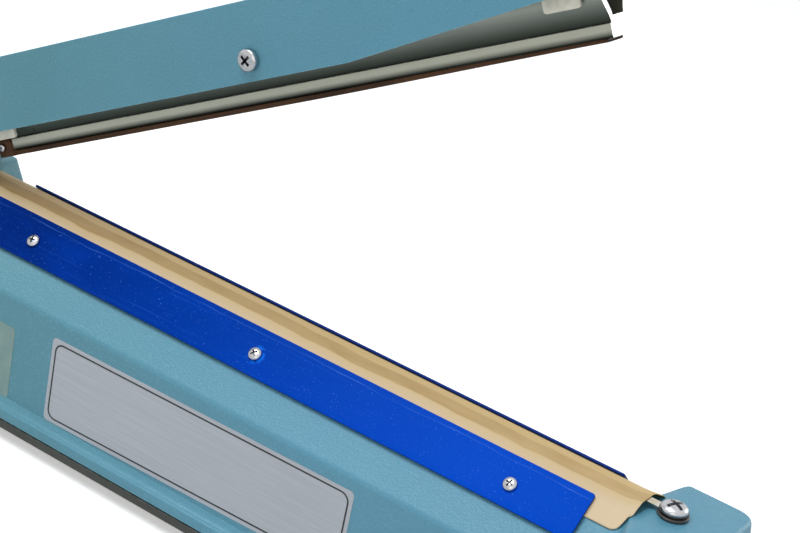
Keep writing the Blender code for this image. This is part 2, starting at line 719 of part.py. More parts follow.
def slope_place(side, along_x, up, height):
    """A point on the sloping flank: up is measured from the ridge's corner, height off the paint."""
    y = -RIDGE_HALF + up * math.cos(SLOPE) - height * math.sin(SLOPE)
    z = RIDGE_HEIGHT + up * math.sin(SLOPE) + height * math.cos(SLOPE)
    return (along_x, y * side, z)


def section_outline(low_corners):
    """One half section of the housing, from the side's lower edge to the middle of the top."""
    bottom, bend, top, middle = low_corners
    outline = [bottom]
    outline += rounded_corner(bottom, bend, top, BEND_RADIUS, BEND_STEPS)
    edge = PLATEAU_EDGE if top[0] > RIDGE_HALF else RIDGE_EDGE
    outline += rounded_corner(bend, top, middle, edge, BEND_STEPS)
    outline.append(middle)
    return outline


def housing_sections():
    """Places along X with how far each is turned into a plateau and how near its end it is."""
    places = []
    for share in END_STEP_SHARES:
        places.append((-BODY_END + share * BODY_CORNER, 1.0, share * BODY_CORNER))
    for step in range(RAMP_STEPS + 1):
        share = step / RAMP_STEPS
        ramp = share * share * (3 - 2 * share)
        places.append((RIDGE_START - (1 - share) * PLATEAU_RAMP, 1 - ramp, BODY_CORNER))
    for step in range(RAMP_STEPS + 1):
        share = step / RAMP_STEPS
        ramp = share * share * (3 - 2 * share)
        places.append((RIDGE_END + share * PLATEAU_RAMP, ramp, BODY_CORNER))
    for share in reversed(END_STEP_SHARES):
        places.append((BODY_END - share * BODY_CORNER, 1.0, share * BODY_CORNER))
    return places


def drawn_in(distance, radius):
    """How far a rounded end has come in at this distance from it."""
    if distance >= radius:
        return 0.0
    return radius - math.sqrt(radius ** 2 - (radius - distance) ** 2)


def housing_mesh():
    """The housing's outer skin as an open surface, lofted along X and closed at both ends."""
    low = SKIRT_BOTTOM + JOIN
    ridge = section_outline(
        [(BODY_HALF, low), (BODY_HALF, BEND_Z), (RIDGE_HALF, RIDGE_HEIGHT), (0, RIDGE_HEIGHT)]
    )
    plateau = section_outline(
        [(BODY_HALF, low), (BODY_HALF, BEND_Z), (PLATEAU_HALF, PLATEAU_HEIGHT), (0, PLATEAU_HEIGHT)]
    )
    shape = bmesh.new()
    rings = []
    straight = BEND_Z - BEND_RADIUS
    for x, blend, inset in housing_sections():
        half = []
        for (y0, z0), (y1, z1) in zip(ridge, plateau):
            y = y0 + (y1 - y0) * blend
            z = z0 + (z1 - z0) * blend
            if y > 0:
                y -= drawn_in(inset, BODY_CORNER)
            if z > straight:
                z -= drawn_in(inset, END_EDGE) * (z - straight) / (PLATEAU_HEIGHT - straight)
            half.append((y, z))
        across = [(-y, z) for y, z in half] + list(reversed(half[:-1]))
        rings.append([shape.verts.new((x, y, z)) for y, z in across])
    for left, right in zip(rings, rings[1:]):
        for i in range(len(left) - 1):
            shape.faces.new((left[i], left[i + 1], right[i + 1], right[i]))
    shape.faces.new(rings[0])
    shape.faces.new(rings[-1])
    return mesh_from(shape, "housing_skin")


def drill(part, name, radius, low, high, location, rotation=(0, 0, 0), parent=None, sides=HOLE_SIDES):
    """Cut a round hole along the local Z of a place."""
    cutter = add_cutter(name, cylinder_mesh(name, radius, low, high, sides), location, rotation, parent)
    cut(part, cutter)


FRONT_FACE = (math.radians(90), 0, 0)
LEFT_FACE = (0, math.radians(-90), 0)
FRONT_SLOPE = (SLOPE, 0, 0)
REAR_SLOPE = (-SLOPE, 0, 0)
SIDES = (("front", 1, FRONT_SLOPE), ("rear", -1, REAR_SLOPE))
SCREW_STEPS = (-1, 0, 1)
CORNERS = (
    ("front_hinge", -1, -1),
    ("front_handle", 1, -1),
    ("rear_hinge", -1, 1),
    ("rear_handle", 1, 1),
)


def bracket_screw_places():
    x = PIVOT_X - BRACKET_SCREW_BACK
    return (("front", (x, -BRACKET_SCREW_PITCH / 2)), ("rear", (x, BRACKET_SCREW_PITCH / 2)))


def make_body_shell():
    """The painted housing: lofted skin, joggled skirt, screw bosses and all its holes."""
    shell = add_part("body_shell", housing_mesh(), PAINT)
    thicken(shell, WALL, -1.0)
    outer = rounded_rectangle(BASE_END, SKIRT_HALF, SKIRT_CORNER)
    inner = rounded_rectangle(BODY_END - GAP, BODY_HALF - GAP, SKIRT_CORNER - SKIRT_LEDGE)
    skirt = stacked_mesh("skirt", [(outer, SKIRT_BOTTOM), (outer, SKIRT_TOP), (inner, JOGGLE_TOP)])
    join(shell, add_cutter("skirt", skirt))
    room = rounded_rectangle(INNER_END - GAP, INNER_HALF - GAP, BODY_CORNER - WALL)
    pocket = outline_mesh("skirt_room", [room], SKIRT_BOTTOM - OVERRUN, JOGGLE_TOP + OVERRUN)
    cut(shell, add_cutter("skirt_room", pocket))
    for name, side_x, side_y in CORNERS:
        boss = cylinder_mesh("boss_" + name, BOSS_RADIUS, SKIRT_BOTTOM, BOSS_TOP, SCREW_SIDES)
        join(shell, add_cutter("boss_" + name, boss, (side_x * BOSS_X, side_y * BOSS_Y, 0)))
    for name, side_x, side_y in CORNERS:
        place = (side_x * BOSS_X, side_y * BOSS_Y, 0)
        reach = PLATE_SCREW_LENGTH + GAP
        radius = PLATE_SCREW_RADIUS + HOLE_CLEARANCE
        drill(shell, "boss_hole_" + name, radius, 0, reach, place)
    for side, sign, tilt in SIDES:
        for step in SCREW_STEPS:
            x = STRIP_X + step * STRIP_SCREW_PITCH
            place = slope_place(sign, x, STRIP_SCREW_UP, 0)
            radius = STRIP_SCREW_RADIUS + HOLE_CLEARANCE
            name = "strip_hole_%s_%d" % (side, step)
            drill(shell, name, radius, -WALL - OVERRUN, OVERRUN, place, tilt)
    for name, x in (("hinge", HINGE_TERMINAL_X), ("handle", HANDLE_TERMINAL_X)):
        radius = BUSH_SLEEVE_RADIUS + HOLE_CLEARANCE
        low = PLATEAU_UNDER - OVERRUN
        high = PLATEAU_HEIGHT + OVERRUN
        drill(shell, "terminal_hole_" + name, radius, low, high, (x, 0, 0))
    for name, (x, y) in bracket_screw_places():
        radius = BRACKET_SCREW_RADIUS + HOLE_CLEARANCE
        low = PLATEAU_UNDER - OVERRUN
        drill(shell, "bracket_hole_" + name, radius, low, PLATEAU_HEIGHT + OVERRUN, (x, y, 0))
    radius = ROD_RADIUS + ROD_HOLE_CLEARANCE
    low = PLATEAU_UNDER - OVERRUN
    drill(shell, "rod_hole", radius, low, PLATEAU_HEIGHT + OVERRUN, (ROD_X, 0, 0))
    low = INNER_HALF - OVERRUN
    high = BODY_HALF + OVERRUN
    radius = BUSHING_RADIUS + HOLE_CLEARANCE
    drill(shell, "dial_hole", radius, low, high, (DIAL_X, 0, DIAL_Z), FRONT_FACE)
    radius = BEZEL_SLEEVE_RADIUS + HOLE_CLEARANCE
    drill(shell, "lamp_hole", radius, low, high, (LAMP_X, 0, LAMP_Z), FRONT_FACE)
    low = INNER_END - OVERRUN
    high = BODY_END + OVERRUN
    radius = OUTLET_GROOVE + HOLE_CLEARANCE
    drill(shell, "outlet_hole", radius, low, high, (0, 0, OUTLET_Z), LEFT_FACE)


def board_pegs():
    half_x = BOARD_LENGTH / 2 - BOARD_PEG_INSET
    half_y = BOARD_WIDTH / 2 - BOARD_PEG_INSET
    return [(BOARD_X + sx * half_x, sy * half_y) for sx in (-1, 1) for sy in (-1, 1)]


def make_bottom_plate():
    """The dark tray that closes the housing, with pads for the screws and pegs for the board."""
    outline = rounded_rectangle(BASE_END, SKIRT_HALF, SKIRT_CORNER)
    plate = add_part("bottom_plate", outline_mesh("bottom_plate", [outline], 0, PLATE_HEIGHT), PLATE_PAINT)
    room = rounded_rectangle(BASE_END - PLATE_RIM, SKIRT_HALF - PLATE_RIM, SKIRT_CORNER - PLATE_RIM)
    tray = outline_mesh("tray_room", [room], PLATE_FLOOR, PLATE_HEIGHT + OVERRUN)
    cut(plate, add_cutter("tray_room", tray))
    low = PLATE_FLOOR - JOIN
    for name, side_x, side_y in CORNERS:
        pad = cylinder_mesh("pad_" + name, PLATE_PAD_RADIUS, low, PLATE_HEIGHT, SCREW_SIDES)
        join(plate, add_cutter("pad_" + name, pad, (side_x * BOSS_X, side_y * BOSS_Y, 0)))
    for number, (x, y) in enumerate(board_pegs()):
        top = PLATE_FLOOR + BOARD_PEG_HEIGHT
        peg = cylinder_mesh("peg", BOARD_PEG_RADIUS, low, top, SCREW_SIDES)
        join(plate, add_cutter("peg_%d" % number, peg, (x, y, 0)))
    for name, side_x, side_y in CORNERS:
        radius = PLATE_SCREW_RADIUS + HOLE_CLEARANCE
        place = (side_x * BOSS_X, side_y * BOSS_Y, 0)
        drill(plate, "plate_hole_" + name, radius, -OVERRUN, PLATE_HEIGHT + OVERRUN, place)


def make_feet():
    """Four rubber feet, each held with the plate by one screw from below."""
    top = -GAP
    sole = top - FOOT_HEIGHT
    seat = top - FOOT_FLOOR
    bore = PLATE_SCREW_RADIUS + HOLE_CLEARANCE
    profile = [
        (bore, top), (FOOT_RADIUS, top), (FOOT_SOLE_RADIUS, sole),
        (FOOT_POCKET_RADIUS, sole), (FOOT_POCKET_RADIUS, seat), (bore, seat), (bore, top),
    ]
    foot = turned_mesh("foot", profile, ROUND_SIDES)
    screw = screw_mesh(
        "plate_screw", PLATE_SCREW_RADIUS, PLATE_SCREW_HEAD, PLATE_SCREW_HEAD_HEIGHT, PLATE_SCREW_LENGTH
    )
    head = seat - GAP
    for name, side_x, side_y in CORNERS:
        place = (side_x * BOSS_X, side_y * BOSS_Y, 0)
        add_part("foot_" + name, foot, RUBBER_BLACK, place)
        at = (place[0], place[1], head)
        add_part("plate_screw_" + name, screw, STEEL, at, (math.pi, 0, 0))


def make_heating_band():
    """Insulating strip, ribbon element and the coated cloth stretched over both."""
    low = (CLOTH_START_X, -INSULATOR_WIDTH / 2, INSULATOR_Z)
    high = (CLOTH_END_X, INSULATOR_WIDTH / 2, INSULATOR_Z + INSULATOR_THICKNESS)
    add_part("insulating_strip", box_mesh("insulating_strip", low, high), MICA)
    make_element()
    make_cloth()


def make_element():
    """The ribbon runs flat below the cloth and climbs at both ends to an eye on its terminal."""
    middle = ELEMENT_Z + ELEMENT_THICKNESS / 2
    raised = EYE_Z + ELEMENT_THICKNESS / 2
    path = [
        (HINGE_TERMINAL_X, raised),
        (CLOTH_START_X - ELEMENT_RAMP, raised),
        (CLOTH_START_X, middle),
        (CLOTH_END_X, middle),
        (CLOTH_END_X + ELEMENT_RAMP, raised),
        (HANDLE_TERMINAL_X, raised),
    ]
    shape = bmesh.new()
    half = ELEMENT_WIDTH / 2
    rows = [(shape.verts.new((x, -half, z)), shape.verts.new((x, half, z))) for x, z in path]
    for (a, b), (c, d) in zip(rows, rows[1:]):
        shape.faces.new((a, b, d, c))
    ribbon = add_part("heating_element", mesh_from(shape, "heating_element"), NICHROME)
    thicken(ribbon, ELEMENT_THICKNESS, 0.0)
    for name, x in (("hinge", HINGE_TERMINAL_X), ("handle", HANDLE_TERMINAL_X)):
        eye = cylinder_mesh("eye", ELEMENT_EYE_RADIUS, EYE_Z, EYE_Z + ELEMENT_THICKNESS, ROUND_SIDES)
        join(ribbon, add_cutter("element_eye_" + name, eye, (x, 0, 0)))
        radius = TERMINAL_RADIUS + HOLE_CLEARANCE
        low = EYE_Z - OVERRUN
        drill(ribbon, "element_hole_" + name, radius, low, EYE_Z + OVERRUN, (x, 0, 0))


def cloth_path():
    """The cloth's middle line across the ridge, from the front edge to the rear edge."""
    edge = slope_place(1, 0, -CLOTH_DROP, CLOTH_SEAT)
    turn = slope_place(1, 0, -CLOTH_TURN, CLOTH_SEAT)
    half = [(edge[1], edge[2]), (turn[1], turn[2]), (-CLOTH_TOP_HALF, CLOTH_Z + CLOTH_THICKNESS / 2)]
    return half + [(-y, z) for y, z in reversed(half)]


def make_cloth():
    shape = bmesh.new()
    rows = []
    for x in (CLOTH_START_X, CLOTH_END_X):
        rows.append([shape.verts.new((x, y, z)) for y, z in cloth_path()])
    for i in range(len(rows[0]) - 1):
        shape.faces.new((rows[0][i], rows[0][i + 1], rows[1][i + 1], rows[1][i]))
    cloth = add_part("base_cloth", mesh_from(shape, "base_cloth"), CLOTH_TAN)
    thicken(cloth, CLOTH_THICKNESS, 0.0)
    for side, sign, tilt in SIDES:
        for step in SCREW_STEPS:
            x = STRIP_X + step * STRIP_SCREW_PITCH
            place = slope_place(sign, x, STRIP_SCREW_UP, 0)
            radius = STRIP_SCREW_RADIUS + HOLE_CLEARANCE
            drill(cloth, "cloth_hole_%s_%d" % (side, step), radius, -OVERRUN, OVERRUN, place, tilt)


def make_strips():
    """The two blue strips that clamp the cloth, each with three screws."""
    screw = screw_mesh(
        "strip_screw", STRIP_SCREW_RADIUS, STRIP_SCREW_HEAD, STRIP_SCREW_HEAD_HEIGHT, STRIP_SCREW_LENGTH
    )
    half_x = STRIP_LENGTH / 2
    half_v = STRIP_WIDTH / 2
    for side, sign, tilt in SIDES:
        corners = [
            (-half_x, -half_v * sign, STRIP_CORNER), (half_x, -half_v * sign, STRIP_FREE_CORNER),
            (half_x, half_v * sign, STRIP_CORNER), (-half_x, half_v * sign, STRIP_CORNER),
        ]
        loops = [rounded_outline(corners)]
        for step in SCREW_STEPS:
            centre = (step * STRIP_SCREW_PITCH, -STRIP_SCREW_DROP * sign)
            loops.append(circle(STRIP_SCREW_RADIUS + HOLE_CLEARANCE, SCREW_SIDES, centre))
        mesh = outline_mesh(side + "_strip", loops, 0, STRIP_THICKNESS)
        place = slope_place(sign, STRIP_X, STRIP_MIDDLE, STRIP_SEAT)
        add_part(side + "_strip", mesh, FILM_BLUE, place, tilt)
        height = STRIP_SEAT + STRIP_THICKNESS + GAP
        for step in SCREW_STEPS:
            x = STRIP_X + step * STRIP_SCREW_PITCH
            place = slope_place(sign, x, STRIP_SCREW_UP, height)
            add_part("%s_strip_screw_%d" % (side, step + 2), screw, STEEL, place, tilt)


def make_terminals():
    """A shouldered insulating bush and a large screw at each end of the element."""
    bore = TERMINAL_RADIUS + HOLE_CLEARANCE
    top = BUSH_THICKNESS
    profile = [
        (bore, top), (BUSH_RADIUS, top), (BUSH_RADIUS, 0), (BUSH_SLEEVE_RADIUS, 0),
        (BUSH_SLEEVE_RADIUS, -BUSH_SLEEVE_LENGTH), (bore, -BUSH_SLEEVE_LENGTH), (bore, top),
    ]
    bush = turned_mesh("terminal_bush", profile, ROUND_SIDES)
    screw = screw_mesh(
        "terminal_screw", TERMINAL_RADIUS, TERMINAL_HEAD, TERMINAL_HEAD_HEIGHT, TERMINAL_LENGTH,
        BIG_SCREW_SIDES,
    )
    for name, x in (("hinge", HINGE_TERMINAL_X), ("handle", HANDLE_TERMINAL_X)):
        add_part("terminal_bush_" + name, bush, BAKELITE, (x, 0, BUSH_Z))
        add_part("terminal_screw_" + name, screw, STEEL, (x, 0, TERMINAL_Z))


def ear_outline():
    """Side view of the bracket: flat foot, and upright ears with a round top and a flared back."""
    back = PIVOT_X - BRACKET_BACK
    head = arc((PIVOT_X, PIVOT_Z), EAR_RADIUS, 0, math.pi, 2 * ARC_STEPS)
    outline = [(back, BRACKET_Z - OVERRUN), (PIVOT_X + EAR_RADIUS, BRACKET_Z - OVERRUN)] + head
    foot_back = (PIVOT_X - EAR_BACK, BRACKET_TOP)
    outline += rounded_corner(head[-1], foot_back, (back, BRACKET_TOP), EAR_FILLET)
    outline.append((back, BRACKET_TOP))
    return outline


def make_bracket():
    """Folded steel bracket: a bent channel trimmed to the side view of its ears."""
    half = BRACKET_HALF
    inner = half - BRACKET_THICKNESS
    high = PIVOT_Z + EAR_RADIUS + OVERRUN
    corners = [
        (-half, high, 0), (-half, BRACKET_Z, BRACKET_BEND),
        (half, BRACKET_Z, BRACKET_BEND), (half, high, 0),
        (inner, high, 0), (inner, BRACKET_TOP, BRACKET_BEND - BRACKET_THICKNESS),
        (-inner, BRACKET_TOP, BRACKET_BEND - BRACKET_THICKNESS), (-inner, high, 0),
    ]
    low_x = PIVOT_X - BRACKET_BACK - OVERRUN
    high_x = PIVOT_X + EAR_RADIUS + OVERRUN
    channel = outline_mesh("hinge_bracket", [rounded_outline(corners)], low_x, high_x, ALONG_X)
    bracket = add_part("hinge_bracket", channel, PAINT)
    reach = half + OVERRUN
    side_view = outline_mesh("bracket_side_view", [ear_outline()], -reach, reach, ALONG_Y)
    boolean(bracket, add_cutter("bracket_side_view", side_view), "INTERSECT")
    radius = PIN_RADIUS + PIN_CLEARANCE
    drill(bracket, "ear_holes", radius, -reach, reach, (PIVOT_X, 0, PIVOT_Z), FRONT_FACE)
    low = BRACKET_Z - OVERRUN
    high = BRACKET_TOP + OVERRUN
    radius = BUSH_RADIUS + HOLE_CLEARANCE
    drill(bracket, "bracket_terminal_hole", radius, low, high, (HINGE_TERMINAL_X, 0, 0), sides=ROUND_SIDES)
    notch_half = ELEMENT_WIDTH / 2 + ELEMENT_CLEARANCE
    notch_low = (HINGE_TERMINAL_X, -notch_half, low)
    notch_high = (PIVOT_X + EAR_RADIUS + OVERRUN, notch_half, high)
    cut(bracket, add_cutter("element_notch", box_mesh("element_notch", notch_low, notch_high)))
    drill(bracket, "bracket_rod_hole", ROD_RADIUS + ROD_HOLE_CLEARANCE, low, high, (ROD_X, 0, 0))
    for name, (x, y) in bracket_screw_places():
        radius = BRACKET_SCREW_RADIUS + HOLE_CLEARANCE
        drill(bracket, "bracket_screw_hole_" + name, radius, low, high, (x, y, 0))
    screw = screw_mesh(
        "bracket_screw", BRACKET_SCREW_RADIUS, BRACKET_SCREW_HEAD, BRACKET_SCREW_HEAD_HEIGHT,
        BRACKET_SCREW_LENGTH,
    )
    for name, (x, y) in bracket_screw_places():
        add_part("bracket_screw_" + name, screw, STEEL, (x, y, BRACKET_TOP + GAP))


def make_hinge_pin():
    """The pin through both ears, with a head at each end, and a spacer on each side of the arm."""
    reach = BRACKET_HALF + GAP
    head = reach + PIN_HEAD_HEIGHT
    dome = head - PIN_HEAD_HEIGHT / 2
    profile = [
        (0, head), (PIN_RADIUS, head), (PIN_HEAD_RADIUS, dome),
        (PIN_HEAD_RADIUS, reach), (PIN_RADIUS, reach),
        (PIN_RADIUS, -reach), (PIN_HEAD_RADIUS, -reach), (PIN_HEAD_RADIUS, -dome), (PIN_RADIUS, -head),
        (0, -head),
    ]
    place = (PIVOT_X, 0, PIVOT_Z)
    add_part("hinge_pin", turned_mesh("hinge_pin", profile, BIG_SCREW_SIDES), STEEL, place, FRONT_FACE)


def make_stop():
    """The rubber pad that the tail of the open arm rests on."""
    half_y = BRACKET_INNER_HALF - STOP_CORNER
    outer = rounded_rectangle(STOP_LENGTH / 2, half_y, STOP_CORNER, centre=(ROD_X, 0))
    hole = circle(ROD_RADIUS + ROD_HOLE_CLEARANCE, SCREW_SIDES, (ROD_X, 0))
    mesh = outline_mesh("open_stop", [outer, hole], BRACKET_TOP + GAP, STOP_TOP)
    add_part("open_stop", mesh, RUBBER_BLACK)


def make_empty(name, location, rotation=(0, 0, 0), parent=None):
    empty = bpy.data.objects.new(name, None)
    empty.location = location
    empty.rotation_euler = rotation
    empty.parent = parent or STAND
    PARTS.objects.link(empty)
    return empty


def cover_outline():
    """Side view of the arm cover: its tail, the line of its top and nose, and its lower edge."""
    tail = arc((-TAIL, 0), TAIL_RADIUS, math.radians(-90), math.radians(-180), ARC_STEPS)
    slant = (-TAIL - TAIL_RADIUS + TAIL_SLANT, COVER_TOP)
    nose_low = -COVER_BELOW + (NOSE_END - COVER_BEND) * math.tan(COVER_RISE)
    corner_top = (NOSE_END, NOSE_TOP)
    corner_low = (NOSE_END, nose_low)
    shoulder = (COVER_SHOULDER, COVER_TOP)
    upper = rounded_corner(tail[-1], slant, shoulder, TAIL_CORNER)
    upper += rounded_corner(slant, shoulder, corner_top, SHOULDER_RADIUS)
    upper += rounded_corner(shoulder, corner_top, corner_low, NOSE_RADIUS)
    upper += rounded_corner(corner_top, corner_low, (COVER_BEND, -COVER_BELOW), NOSE_RADIUS)[:-1]
    return upper, [(COVER_BEND, -COVER_BELOW)] + tail


def is_lengthwise(edge):
    return edge.verts[0].co.y == edge.verts[1].co.y


def cover_mesh():
    """The cover's skin, open below and behind: two side walls and a band with rounded edges."""
    upper, lower = cover_outline()
    shape = bmesh.new()
    walls = []
    for y in (-COVER_HALF, COVER_HALF):
        walls.append([shape.verts.new((a, y, n)) for a, n in upper + lower])
    for wall in walls:
        shape.faces.new(wall)
    for i in range(len(upper) - 1):
        shape.faces.new((walls[0][i], walls[0][i + 1], walls[1][i + 1], walls[1][i]))
    folds = [edge for edge in shape.edges if len(edge.link_faces) == 2 and is_lengthwise(edge)]
    bmesh.ops.recalc_face_normals(shape, faces=shape.faces)
    bmesh.ops.bevel(
        shape, geom=folds, offset=COVER_EDGE, segments=BEND_STEPS, profile=0.5,
        affect="EDGES", clamp_overlap=True
    )
    return mesh_from(shape, "arm_cover")


def make_arm(hinge):
    """The pressed cover with the pin at its tail; the jaw's screw crosses it."""
    cover = add_part("arm_cover", cover_mesh(), PAINT, parent=hinge)
    thicken(cover, COVER_WALL, -1.0)
    reach = COVER_HALF + OVERRUN
    holes = (
        ("cover_hinge_holes", PIN_RADIUS + PIN_CLEARANCE, (0, 0, 0)),
        ("cover_tail_holes", TAIL_PIN_RADIUS + HOLE_CLEARANCE, (-TAIL, 0, 0)),
        ("cover_jaw_holes", JAW_SCREW_RADIUS + HOLE_CLEARANCE, (JAW_SCREW_ALONG, 0, JAW_SCREW_N)),
    )
    for name, radius, place in holes:
        drill(cover, name, radius, -reach, reach, place, FRONT_FACE, hinge)
    tidy = cover.modifiers.new("weld", "WELD")
    tidy.merge_threshold = WELD
    half = COVER_HALF + TAIL_PIN_PROUD
    pin = cylinder_mesh("tail_pin", TAIL_PIN_RADIUS, -half, half, ROUND_SIDES)
    add_part("tail_pin", pin, STEEL, (-TAIL, 0, 0), FRONT_FACE, hinge)
    low = COVER_HALF + GAP
    high = low + SPACER_THICKNESS
    loops = [circle(SPACER_RADIUS, ROUND_SIDES), circle(PIN_RADIUS + PIN_CLEARANCE, ROUND_SIDES)]
    for name, near, far in (("front", low, high), ("rear", -high, -low)):
        spacer = outline_mesh("spacer", loops, near, far)
        add_part("hinge_spacer_" + name, spacer, NYLON, (0, 0, 0), FRONT_FACE, hinge)
    length = COVER_WIDTH + JAW_NUT_HEIGHT + JAW_SCREW_PROUD
    screw = screw_mesh(
        "jaw_screw", JAW_SCREW_RADIUS, JAW_SCREW_HEAD, JAW_SCREW_HEAD_HEIGHT, length, BIG_SCREW_SIDES
    )
    place = (JAW_SCREW_ALONG, -COVER_HALF - GAP, JAW_SCREW_N)
    add_part("jaw_screw", screw, STEEL, place, FRONT_FACE, hinge)
    low = -COVER_HALF - GAP - JAW_NUT_HEIGHT
    bore = JAW_SCREW_RADIUS + HOLE_CLEARANCE
    nut = hexagon_ring("jaw_nut", JAW_NUT_RADIUS, bore, low, -COVER_HALF - GAP)
    add_part("jaw_nut", nut, STEEL, (JAW_SCREW_ALONG, 0, JAW_SCREW_N), FRONT_FACE, hinge)


def jaw_outline():
    """Section of the jaw: solid foot, hollow flanks that sweep out, and an open channel above."""
    foot = JAW_FOOT_WIDTH / 2
    neck = foot - JAW_STEP
    half = JAW_WIDTH / 2
    inner = half - JAW_WALL
    floor = neck - JAW_WALL
    outside = [(foot, 0), (foot, JAW_FOOT_HEIGHT), (neck, JAW_FOOT_HEIGHT)]
    for i in range(1, FLANK_STEPS + 1):
        turn = math.radians(90) * i / FLANK_STEPS
        u = neck + (half - neck) * (1 - math.cos(turn))
        outside.append((u, JAW_FOOT_HEIGHT + JAW_FLANK_HEIGHT * math.sin(turn)))
    outside.append((half, JAW_HEIGHT))
    inside = [(inner, JAW_HEIGHT)]
    top = JAW_FOOT_HEIGHT + JAW_FLANK_HEIGHT + JAW_WALL
    for i in range(FLANK_STEPS, 0, -1):
        turn = math.radians(90) * i / FLANK_STEPS
        u = floor + (inner - floor) * (1 - math.cos(turn))
        inside.append((u, JAW_FLOOR + (top - JAW_FLOOR) * math.sin(turn)))
    inside.append((floor, JAW_FLOOR))
    right = outside + inside
    left = [(-u, v) for u, v in reversed(right)]
    return right + left


def make_jaw(rocker):
    """The aluminium pressing bar that rocks on the middle screw, with its rubber and tape."""
    start = JAW_START - JAW_SCREW_ALONG
    end = JAW_END - JAW_SCREW_ALONG
    base = JAW_BOTTOM - JAW_SCREW_N
    lift = Matrix.Translation((0, 0, base))
    bar_mesh = outline_mesh("jaw_bar", [jaw_outline()], start, end, lift @ ALONG_X)
    bar = add_part("jaw_bar", bar_mesh, ALUMINIUM, parent=rocker)
    reach = JAW_WIDTH
    radius = JAW_SCREW_RADIUS + HOLE_CLEARANCE
    drill(bar, "jaw_screw_hole", radius, -reach, reach, (0, 0, 0), FRONT_FACE, rocker)
    screw_at = (start + TAPE_SCREW_INSET, base + TAPE_SCREW_UP)
    face = JAW_FOOT_WIDTH / 2
    radius = TAPE_SCREW_RADIUS + HOLE_CLEARANCE
    low = face - TAPE_SCREW_LENGTH
    place = (screw_at[0], 0, screw_at[1])
    drill(bar, "tape_screw_hole", radius, low, face + OVERRUN, place, FRONT_FACE, rocker)
    strip_low = (start + GAP, -RUBBER_WIDTH / 2, RUBBER_BOTTOM - JAW_SCREW_N)
    strip_high = (end - GAP, RUBBER_WIDTH / 2, RUBBER_BOTTOM + RUBBER_THICKNESS - JAW_SCREW_N)
    strip = box_mesh("rubber_strip", strip_low, strip_high)
    add_part("rubber_strip", strip, SILICONE, parent=rocker)
    make_tape(rocker, start, end, screw_at)
    places = (
        ("guide_pad_hinge", start + HINGE_PAD_INSET, HINGE_PAD_LOW),
        ("guide_pad_handle", end - HANDLE_PAD_INSET, HANDLE_PAD_LOW),
    )
    for name, along, low in places:
        outline = pad_outline(base + low, base + JAW_HEIGHT)
        mesh = outline_mesh(name, [outline], -PAD_LENGTH / 2, PAD_LENGTH / 2, ALONG_X)
        add_part(name, mesh, NYLON, (along, 0, 0), parent=rocker)


def pad_outline(low, jaw_top):
    """Section of a nylon saddle that sits over the jaw's channel."""
    inner = JAW_WIDTH / 2 + GAP
    outer = inner + PAD_THICKNESS
    under = jaw_top + GAP
    top = under + PAD_THICKNESS
    corners = [
        (outer, low, 0), (outer, top, PAD_CORNER), (-outer, top, PAD_CORNER), (-outer, low, 0),
        (-inner, low, 0), (-inner, under, 0), (inner, under, 0), (inner, low, 0),
    ]
    return rounded_outline(corners)


def make_tape(rocker, start, end, screw_at):
    """Coated tape: a trough round the rubber that widens to wrap the jaw's foot at the hinge end."""
    floor = TAPE_FLOOR - JAW_SCREW_N
    bottom = TAPE_BOTTOM - JAW_SCREW_N
    inner = RUBBER_WIDTH / 2 + GAP
    outer = inner + TAPE_THICKNESS
    top = JAW_BOTTOM - GAP - JAW_SCREW_N
    trough = [
        (-outer, bottom), (outer, bottom), (outer, top), (inner, top),
        (inner, floor), (-inner, floor), (-inner, top), (-outer, top),
    ]
    mesh = outline_mesh("jaw_tape", [trough], start, end, ALONG_X)
    tape = add_part("jaw_tape", mesh, TAPE_BROWN, parent=rocker)
    wide_inner = JAW_FOOT_WIDTH / 2 + GAP
    wide = wide_inner + TAPE_THICKNESS
    foot_top = JAW_BOTTOM - JAW_SCREW_N + JAW_FOOT_HEIGHT
    wrap_low = (start - GAP - TAPE_THICKNESS, -wide, bottom)
    wrap = box_mesh("tape_wrap", wrap_low, (start + WRAP_LENGTH, wide, foot_top))
    join(tape, add_cutter("tape_wrap", wrap, parent=rocker))
    room_high = (start + WRAP_LENGTH + OVERRUN, wide_inner, foot_top + OVERRUN)
    room = box_mesh("tape_room", (start - GAP, -wide_inner, top), room_high)
    cut(tape, add_cutter("tape_room", room, parent=rocker))
    room = box_mesh("tape_strip_room", (start, -inner, floor), (end + OVERRUN, inner, top + JOIN))
    cut(tape, add_cutter("tape_strip_room", room, parent=rocker))
    radius = TAPE_SCREW_RADIUS + HOLE_CLEARANCE
    place = (screw_at[0], 0, screw_at[1])
    drill(tape, "tape_hole", radius, wide_inner - GAP, wide + OVERRUN, place, FRONT_FACE, rocker)
    screw = screw_mesh(
        "tape_screw", TAPE_SCREW_RADIUS, TAPE_SCREW_HEAD, TAPE_SCREW_HEAD_HEIGHT, TAPE_SCREW_LENGTH
    )
    place = (screw_at[0], -wide - GAP, screw_at[1])
    add_part("tape_screw", screw, STEEL, place, FRONT_FACE, rocker)


